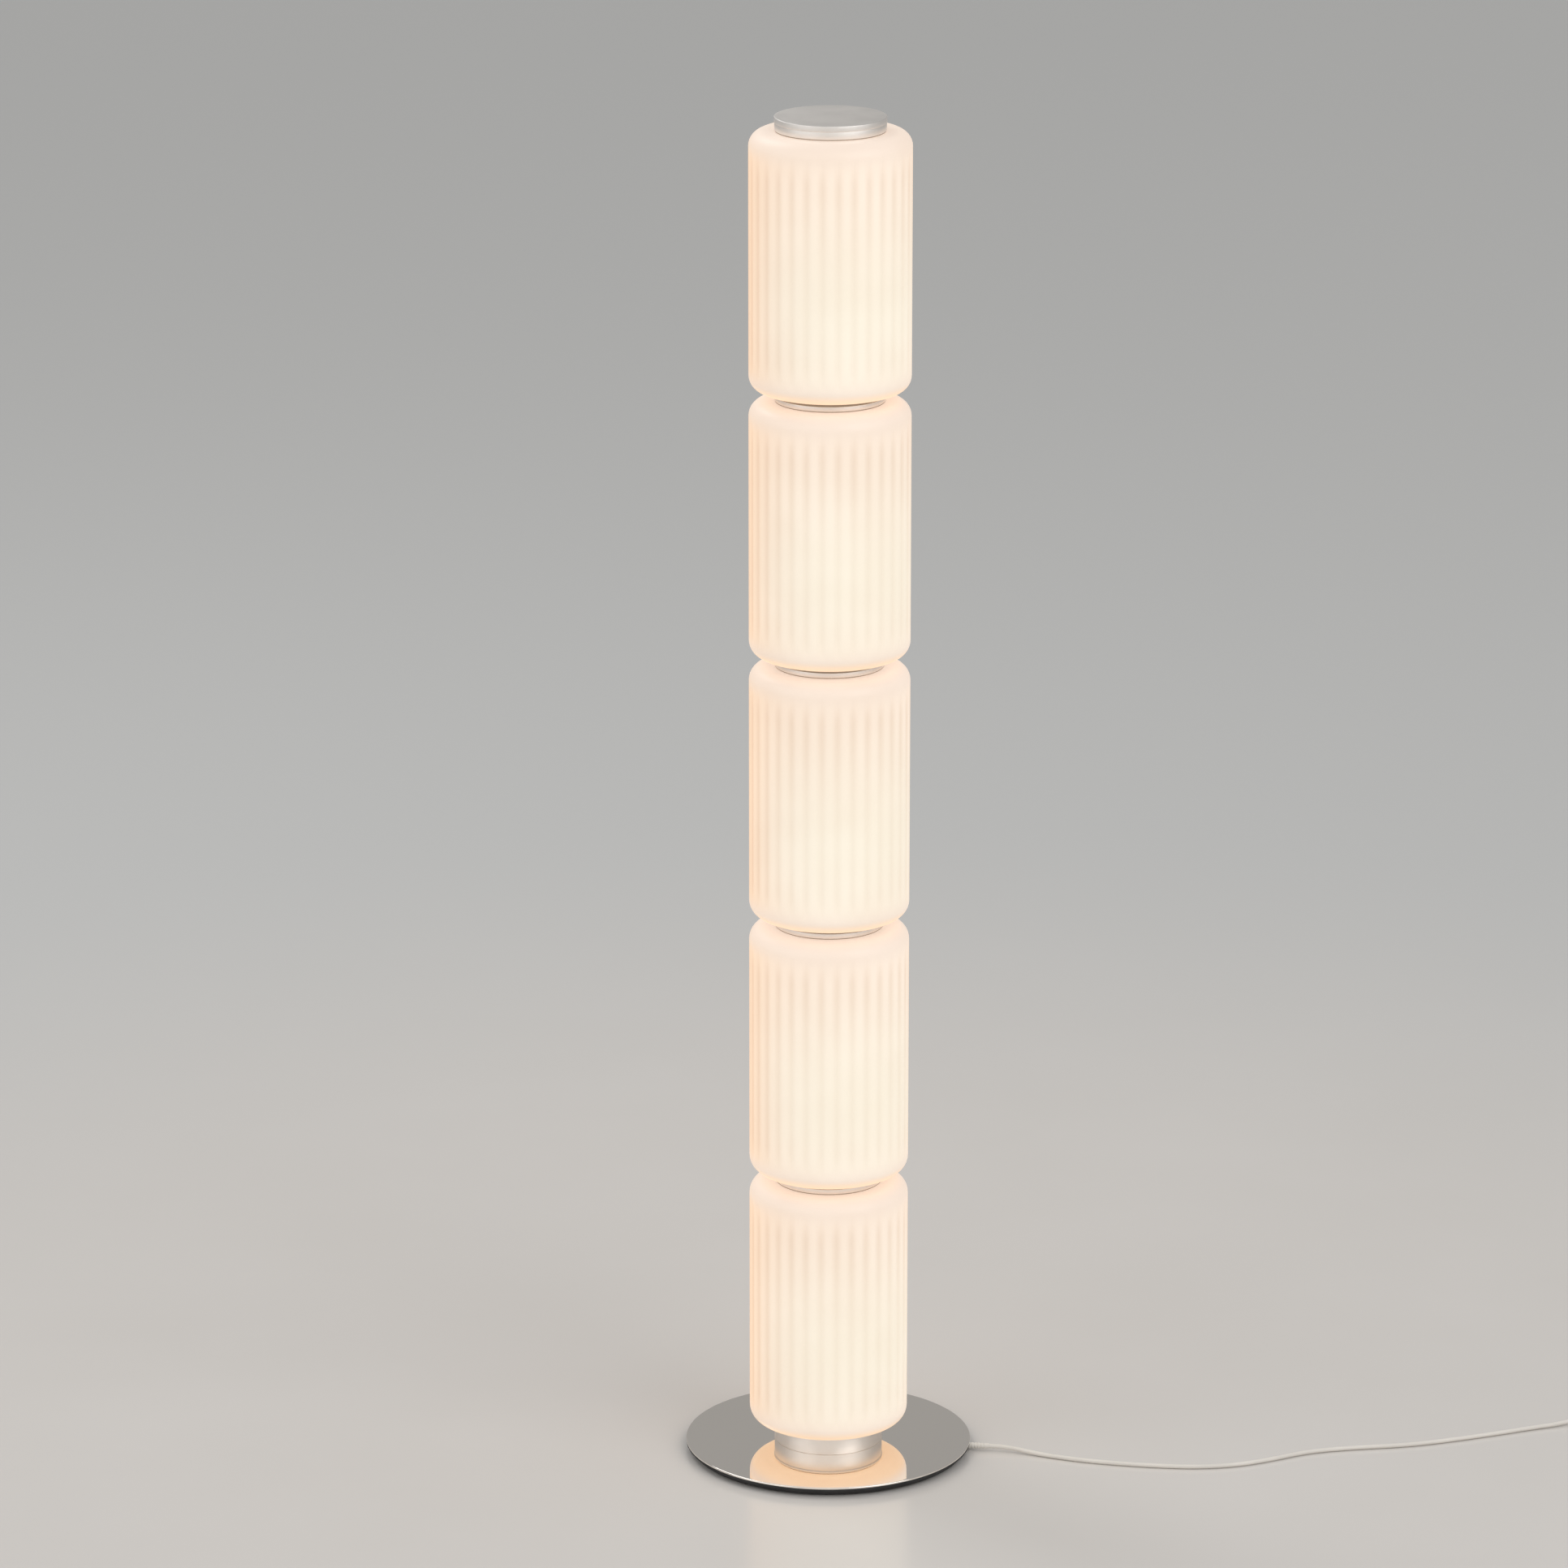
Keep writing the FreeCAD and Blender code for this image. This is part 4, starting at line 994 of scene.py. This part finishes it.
class LAMP_OT_lead(bpy.types.Operator):
    """Lay the lead to the foot switch, wind the rest into its coil, and fit sleeves and plug"""

    bl_idname = "lamp.lead"
    bl_label = "Lead and plug"

    def execute(self, context):
        first = [relief_tip(), relief_tip(EXIT_RUN)] + [Vector(point) for point in LAMP_LEAD_POINTS]
        first += [switch_end(-1, SWITCH_RUN), switch_end(-1)]
        lamp_lead = dress(lead_curve("lamp_lead", first), "cord_pvc", LAMP, ["lamp_cord"])
        second = [switch_end(1), switch_end(1, SWITCH_RUN),
                  coil_point(-COIL_END_RUN - SWITCH_RUN, 0, COIL_LEVEL)]
        second += coil_points()
        tail, plug_heading = tail_points(second[-1])
        second += tail
        coil_lead = dress(lead_curve("coiled_lead", second), "cord_pvc", LAMP,
                          ["second_cord", "cord_coil", "plug_cord"])
        start = heading_vector(EXIT_HEADING) * (RELIEF_END - RELIEF_LENGTH - RELIEF_INSIDE)
        turn_piece("bend_relief", sleeve_profile(3.9 * MM, RELIEF_LENGTH + RELIEF_INSIDE, 7),
                   SLEEVE_SEGMENTS, "cord_pvc", LAMP, ["strain_relief"],
                   offset=(start.x, start.y, EXIT_HEIGHT), heading=math.radians(EXIT_HEADING),
                   tilt=QUARTER_TURN)
        length = SWITCH_SLEEVE + SLEEVE_OVERLAP
        for side, name, heading, nodes in (
                (-1, "switch_sleeve_in", SWITCH_HEADING + 180, ["switch_sleeves"]),
                (1, "switch_sleeve_out", SWITCH_HEADING, ())):
            root = switch_end(side) - heading_vector(heading) * length
            turn_piece(name, sleeve_profile(4.2 * MM, length, 4), SLEEVE_SEGMENTS, "cord_pvc",
                       LAMP, nodes, offset=root, heading=math.radians(heading),
                       tilt=QUARTER_TURN)
        plug = self.plug(tail[-1], plug_heading)
        tie = self.tie()
        return {"FINISHED"}

    def plug(self, end, heading):
        """A flat two-pin plug with a grip waist, its sleeve and its pins"""
        length, width, thick, sleeve_length = 38 * MM, 35 * MM, 14 * MM, 18 * MM
        waist = ((-0.5, 0.60), (-0.333, 0.74), (-0.167, 0.88), (0.0, 0.97))
        pin_spread = 9.3 * MM
        select_none()
        bpy.ops.mesh.primitive_cube_add(size=1, location=(0, 0, 0))
        body = bpy.context.object
        body.name = "plug_moulding"
        bpy.ops.object.mode_set(mode="EDIT")
        bpy.ops.mesh.select_all(action="SELECT")
        bpy.ops.transform.resize(value=(length, width, thick))
        bpy.ops.mesh.subdivide(number_cuts=5)
        bpy.ops.object.mode_set(mode="OBJECT")
        for share, scale in waist:
            for vertex in body.data.vertices:
                vertex.select = abs(vertex.co.x - share * length) < 1e-5
            bpy.ops.object.mode_set(mode="EDIT")
            bpy.ops.transform.resize(value=(1, scale, 1), center_override=(0, 0, 0))
            bpy.ops.object.mode_set(mode="OBJECT")
        body.location = (sleeve_length + length / 2, 0, 0)
        bevel = body.modifiers.new("Soft edges", "BEVEL")
        bevel.width = 3.2 * MM
        bevel.segments = 4
        bevel.limit_method = "ANGLE"
        bevel.angle_limit = math.radians(50)
        bpy.ops.object.modifier_apply(modifier=bevel.name)
        set_in_place(body, end, heading)
        finish_piece(body, angle=40)
        dress(body, "switch_plastic", LAMP, ["plug_body"])
        tip = heading_vector(heading)
        reach = sleeve_length + SLEEVE_OVERLAP
        made = [body, turn_piece("plug_sleeve", sleeve_profile(4.5 * MM, reach, 5),
                                 SLEEVE_SEGMENTS, "switch_plastic", offset=end + tip * reach,
                                 heading=math.radians(heading + 180), tilt=QUARTER_TURN)]
        side_way = heading_vector(heading + 90)
        pin_root = sleeve_length + length - 1 * MM
        for side, label in ((-1, "left"), (1, "right")):
            root = end + tip * pin_root + side_way * (side * pin_spread)
            made += self.pin(label, root, heading, ["plug_pins"] if side < 0 else ())
        return made

    def pin(self, label, root, heading, nodes):
        """One round pin with its insulating cover"""
        radius, reach, covered = 2.0 * MM, 20 * MM, 11 * MM
        skin, hidden, cover_soft, tip_round = 0.1 * MM, 1 * MM, 0.3 * MM, 0.8 * MM
        where = {"offset": root, "heading": math.radians(heading), "tilt": QUARTER_TURN}
        steps = [(0, 0), (radius, 0), (radius, covered - cover_soft),
                 (radius - cover_soft, covered), (0, covered)]
        cover = turn_piece(f"plug_pin_cover_{label}", steps, 40, "switch_plastic", **where)
        radius -= skin
        steps = [(0, covered - hidden), (radius, covered - hidden), (radius, reach - tip_round)]
        steps += arc_steps((radius - tip_round, reach - tip_round), tip_round, 0, 90, 4)
        steps.append((0, reach))
        pin = turn_piece(f"plug_pin_{label}", steps, 40, "pin_nickel", LAMP, nodes, **where)
        return [cover, pin]

    def tie(self):
        """A closed strap round the coil's turns"""
        low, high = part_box("coil_tie")
        outer = COIL_INNER_RADIUS + COIL_STEP * COIL_HALF_TURNS
        lead_radius, slack, skin, width = 2.5 * MM, 0.4 * MM, 0.8 * MM, 8 * MM
        far = -(outer + lead_radius + slack + skin)
        near = -(COIL_INNER_RADIUS - lead_radius - slack - skin)
        select_none()
        bpy.ops.mesh.primitive_plane_add(size=1, location=(0, 0, 0))
        tie = bpy.context.object
        tie.name = "coil_strap"
        tie.scale = (near - far, high.z - low.z, 1)
        tie.rotation_euler = (math.pi / 2, 0, 0)
        tie.location = ((near + far) / 2, -width / 2, (low.z + high.z) / 2)
        bpy.ops.object.transform_apply(location=True, rotation=True, scale=True)
        bpy.ops.object.mode_set(mode="EDIT")
        bpy.ops.mesh.select_mode(type="VERT")
        bpy.ops.mesh.select_all(action="SELECT")
        bpy.ops.mesh.bevel(offset=3.0 * MM, segments=6, affect="VERTICES")
        bpy.ops.mesh.delete(type="ONLY_FACE")
        bpy.ops.mesh.select_mode(type="EDGE")
        bpy.ops.mesh.select_all(action="SELECT")
        bpy.ops.mesh.extrude_region_move(TRANSFORM_OT_translate={"value": (0, width, 0)})
        bpy.ops.mesh.select_all(action="SELECT")
        bpy.ops.mesh.normals_make_consistent(inside=False)
        bpy.ops.object.mode_set(mode="OBJECT")
        wall = tie.modifiers.new("Strap", "SOLIDIFY")
        wall.thickness = skin
        wall.offset = -1
        bpy.ops.object.modifier_apply(modifier=wall.name)
        centre = coil_point(0, outer, 0)
        place(tie, centre, math.radians(COIL_HEADING))
        finish_piece(tie, outward=False)
        dress(tie, "tie_fabric", LAMP, ["coil_tie"])
        return tie


def set_in_place(piece, end, heading):
    """Applies a piece's own offset, then turns it to its heading at the lead's end"""
    select_only(piece)
    bpy.ops.object.transform_apply(location=True, rotation=True, scale=True)
    place(piece, end, math.radians(heading))


# ------------------------------------------------------------ foot switch
SWITCH_RADIUS = 30 * MM
SWITCH_SOFT = 0.6 * MM
SWITCH_CORNER = 4 * MM
COVER_WALL = 2 * MM
BUTTON_MOUTH = 14.4 * MM
BUTTON_RADIUS = 14 * MM
BUTTON_FLANGE = 2 * MM
BUTTON_ROUND = 2 * MM


class LAMP_OT_switch(bpy.types.Operator):
    """Turn the round foot switch: tray, cover with its seam and grip rings, and button"""

    bl_idname = "lamp.switch"
    bl_label = "Foot switch"

    def execute(self, context):
        self.tray()
        self.cover()
        self.button()
        return {"FINISHED"}

    def turn(self, name, profile, segments, slot_name, node, body=LAMP, closed=False):
        turn_piece(name, profile, segments, slot_name, body, [node], closed,
                   offset=(*SWITCH_CENTRE, 0))

    def tray(self):
        top = height_range("switch_tray")[1]
        inset = SWITCH_RADIUS - 2 * SWITCH_SOFT
        edge = SWITCH_RADIUS - SWITCH_SOFT
        profile = [(0, 0), (inset, 0), (edge, SWITCH_SOFT), (edge, top - SWITCH_SOFT),
                   (inset, top), (0, top)]
        self.turn("switch_foot", profile, 128, "switch_plastic", "switch_tray")

    def cover(self):
        seam = height_range("switch_tray")[1]
        top = height_range("switch_cover")[1]
        inner = SWITCH_RADIUS - COVER_WALL
        corner = SWITCH_RADIUS - SWITCH_CORNER
        profile = [(inner, seam), (SWITCH_RADIUS - SWITCH_SOFT, seam),
                   (SWITCH_RADIUS, seam + SWITCH_SOFT)]
        profile += arc_steps((corner, top - SWITCH_CORNER), SWITCH_CORNER, 0, 90, 8)
        for ring in range(2):
            at = corner - (2.5 + 3 * ring) * MM
            for side, sink in ((0.7, 0), (0.4, 0.5 * MM), (-0.4, 0.5 * MM), (-0.7, 0)):
                profile.append((at + side * MM, top - sink))
        profile += [(BUTTON_MOUTH + SWITCH_SOFT, top), (BUTTON_MOUTH, top - SWITCH_SOFT),
                    (BUTTON_MOUTH, top - COVER_WALL), (inner, top - COVER_WALL)]
        self.turn("switch_shell", profile, 128, "switch_plastic", "switch_cover", closed=True)

    def button(self):
        flange, top = height_range("switch_button")
        wide = BUTTON_RADIUS + BUTTON_FLANGE
        profile = [(0, flange), (wide, flange), (wide, flange + BUTTON_FLANGE),
                   (BUTTON_RADIUS, flange + BUTTON_FLANGE)]
        profile += arc_steps((BUTTON_RADIUS - BUTTON_ROUND, top - BUTTON_ROUND), BUTTON_ROUND,
                             0, 90, 6)
        for ring in range(3):
            at = BUTTON_RADIUS - (4 + 3 * ring) * MM
            for side, sink in ((0.6, 0.1 * ring), (0, 0.6), (-0.6, 0.1 * ring)):
                profile.append((at + side * MM, top - sink * MM))
        profile.append((0, top - 0.4 * MM))
        self.turn("switch_knob", profile, 96, "button_plastic", "switch_button", BUTTON)


# ------------------------------------------------------------ inside the shades
class LAMP_OT_inside(bpy.types.Operator):
    """Turn the bulbs and lampholders that show when the top shade is lifted"""

    bl_idname = "lamp.inside"
    bl_label = "Bulbs and lampholders"

    def execute(self, context):
        for tier in range(1, TIERS + 1):
            self.bulb(f"bulb_{tier}", f"lit_bulb_{tier}")
            self.holder(f"lampholder_{tier}", f"holder_shell_{tier}")
        return {"FINISHED"}

    def bulb(self, node, name):
        """A candle shape: it swells from its neck, then closes to a point"""
        low, high = height_range(node)
        radius = outer_radius(node) - 0.05 * MM
        length = high - low
        neck = 9 * MM
        belly = 0.42
        swell_steps, taper_steps = 12, 14
        profile = [(0, low), (neck, low)]
        for index in range(1, swell_steps + 1):
            share = index / swell_steps * belly
            swell = math.sin(share / belly * math.pi / 2) ** 1.4
            profile.append((neck + (radius - neck) * swell, low + share * length))
        for index in range(1, taper_steps + 1):
            angle = index / taper_steps * QUARTER_TURN
            rise = belly + (1 - belly) * math.sin(angle) ** 0.95
            profile.append((radius * math.cos(angle) ** 0.9 + SMALLEST_RING, low + rise * length))
        self.stand(name, profile, "bulb_glass", node, angle=60)

    def holder(self, node, name):
        """A ridged sleeve on a threaded shank, open at the top for the bulb"""
        low, high = height_range(node)
        radius = outer_radius(node)
        base = low + 10 * MM
        floor = base + 12 * MM
        shank = 4.95 * MM
        bore = 7.1 * MM
        chamfer = 1 * MM
        ridges = 5
        ridge_start = base + 14 * MM
        span = (high - 5 * MM) - ridge_start
        profile = [(0, low), (shank, low), (shank, base), (radius - chamfer, base),
                   (radius, base + chamfer), (radius, floor)]
        for ridge in range(ridges):
            at = ridge_start + span * ridge / ridges
            profile += [(radius, at), (radius - 0.6 * MM, at + 0.5 * MM),
                        (radius - 0.6 * MM, at + 1.5 * MM), (radius, at + 2 * MM)]
        profile += [(radius, high - 3.6 * MM), (radius - 3 * MM, high), (bore, high), (bore, floor),
                    (0, floor)]
        self.stand(name, profile, "holder_plastic", node)

    def stand(self, name, profile, slot_name, node, angle=35.0):
        centre = middle(node)
        turn_piece(name, profile, 64, slot_name, LAMP, [node], angle=angle,
                   offset=(centre.x, centre.y, 0))


# ------------------------------------------------------------ finishes of the carried-over nodes
class LAMP_OT_finishes(bpy.types.Operator):
    """Build every material and give the frame's own nodes theirs"""

    bl_idname = "lamp.finishes"
    bl_label = "Finishes"

    def execute(self, context):
        MATERIALS.update(build_materials())
        for part in frame["record"]["subparts"]:
            node = frame["nodes"][part["node"]]
            node.data.materials.clear()
            node.data.materials.append(MATERIALS[part["material_slot"]])
        return {"FINISHED"}


# ------------------------------------------------------------ stage
# The camera stands in front of the lamp: metres back and up, degrees down and to the left.
FRAME_PIXELS = 1932
FOCAL_PIXELS = 9021
SENSOR = 36.0
CAMERA_BACK = 7.87
CAMERA_HEIGHT = 3.071
CAMERA_PITCH = 16.156
CAMERA_YAW = 0.370
# Name, place, diameter in metres and power in watts of each soft box.
SOFTBOXES = (("Key", (3.2, -3.0, 3.6), 4.6, 75),
             ("Fill", (-3.4, -2.2, 2.6), 4.6, 30),
             ("Back", (-2.4, 2.6, 4.4), 2.2, 40))
SOFTBOX_AIM = (0, 0, 0.8)
FLOOR_PALE = (0.72, 0.69, 0.66, 1.0)
FLOOR_DULL = (0.68, 0.65, 0.615, 1.0)
FLOOR_FAR = (0.62, 0.62, 0.61, 1.0)
ROOM_LIGHT = (0.62, 0.62, 0.62, 1.0)
ROOM_BEHIND_LAMP = (0.355, 0.35, 0.34, 1.0)
ROOM_BEHIND_CAMERA = (0.8, 0.78, 0.75, 1.0)


class LAMP_OT_stage(bpy.types.Operator):
    """Set the pale floor, the soft studio light and the camera"""

    bl_idname = "lamp.stage"
    bl_label = "Stage"

    def execute(self, context):
        self.camera(context)
        self.floor()
        self.world(context)
        for settings in SOFTBOXES:
            self.softbox(*settings)
        context.scene.view_settings.view_transform = "Standard"
        return {"FINISHED"}

    def camera(self, context):
        data = bpy.data.cameras.new("Camera")
        data.sensor_width = SENSOR
        data.lens = FOCAL_PIXELS * SENSOR / FRAME_PIXELS
        data.clip_end = 100
        camera = bpy.data.objects.new("Camera", data)
        camera.location = (0, -CAMERA_BACK, CAMERA_HEIGHT)
        camera.rotation_euler = (math.radians(90 - CAMERA_PITCH), 0, math.radians(CAMERA_YAW))
        context.scene.collection.objects.link(camera)
        context.scene.camera = camera

    def floor(self):
        select_none()
        bpy.ops.mesh.primitive_plane_add(size=60, location=(0, 0, 0))
        floor = bpy.context.object
        floor.name = "floor"
        material, nodes, shader = new_material("Pale floor")
        point = nodes.object_point()
        x, y, _ = nodes.split(point)
        near = nodes.mix(nodes.noise(point, 3.0, 5.0), FLOOR_DULL, FLOOR_PALE)
        nodes.link(nodes.mix(nodes.ramp(nodes.radius(x, y), 1.0, 2.6), near, FLOOR_FAR),
                   shader.inputs["Base Color"])
        shader.inputs["Roughness"].default_value = 0.2
        floor.data.materials.append(material)

    def world(self, context):
        world = bpy.data.worlds.new("Studio")
        context.scene.world = world
        world.use_nodes = True
        nodes = Nodes(world.node_tree)
        background = world.node_tree.nodes["Background"]
        path = nodes.add("ShaderNodeLightPath")
        seen = nodes.math("MAXIMUM", path.outputs["Is Camera Ray"],
                          nodes.math("MAXIMUM", path.outputs["Is Glossy Ray"],
                                     path.outputs["Is Transmission Ray"]))
        _, toward_back, _ = nodes.split(nodes.add("ShaderNodeTexCoord").outputs["Generated"])
        front = nodes.ramp(toward_back, -0.9, 0.3, 1.0, 0.0)
        room = nodes.mix(front, ROOM_BEHIND_LAMP, ROOM_BEHIND_CAMERA)
        nodes.link(nodes.mix(seen, ROOM_LIGHT, room), background.inputs["Color"])
        background.inputs["Strength"].default_value = 1.0

    def softbox(self, name, position, size, power):
        data = bpy.data.lights.new(name, "AREA")
        data.shape = "DISK"
        data.size = size
        data.energy = power
        light = bpy.data.objects.new(name, data)
        light.location = position
        aim = Vector(SOFTBOX_AIM) - Vector(position)
        light.rotation_euler = aim.to_track_quat("-Z", "Y").to_euler()
        bpy.context.scene.collection.objects.link(light)


class LAMP_PT_panel(bpy.types.Panel):
    """Lists the lamp's pieces, sizes and colours"""

    bl_idname = "LAMP_PT_panel"
    bl_label = "Ribbed Column Lamp"
    bl_space_type = "VIEW_3D"
    bl_region_type = "UI"
    bl_category = "Lamp"

    def draw(self, context):
        layout = self.layout
        for operator in OPERATORS:
            layout.operator(operator.bl_idname)
        for group in (context.scene.lamp_sizes, context.scene.lamp_colours):
            for name in type(group).__annotations__:
                layout.prop(group, name)


OPERATORS = (LAMP_OT_finishes, LAMP_OT_stage, LAMP_OT_lead, LAMP_OT_switch, LAMP_OT_shades,
             LAMP_OT_discs, LAMP_OT_base, LAMP_OT_inside)
CLASSES = (LampSizes, LampColours) + OPERATORS + (LAMP_PT_panel,)


def register():
    for item in CLASSES:
        bpy.utils.register_class(item)
    bpy.types.Scene.lamp_sizes = PointerProperty(type=LampSizes)
    bpy.types.Scene.lamp_colours = PointerProperty(type=LampColours)


def unregister():
    del bpy.types.Scene.lamp_colours
    del bpy.types.Scene.lamp_sizes
    for item in reversed(CLASSES):
        bpy.utils.unregister_class(item)


def main():
    register()
    for operator in OPERATORS:
        family, word = operator.bl_idname.split(".")
        getattr(getattr(bpy.ops, family), word)()
    select_none()


if __name__ == "__main__":
    main()
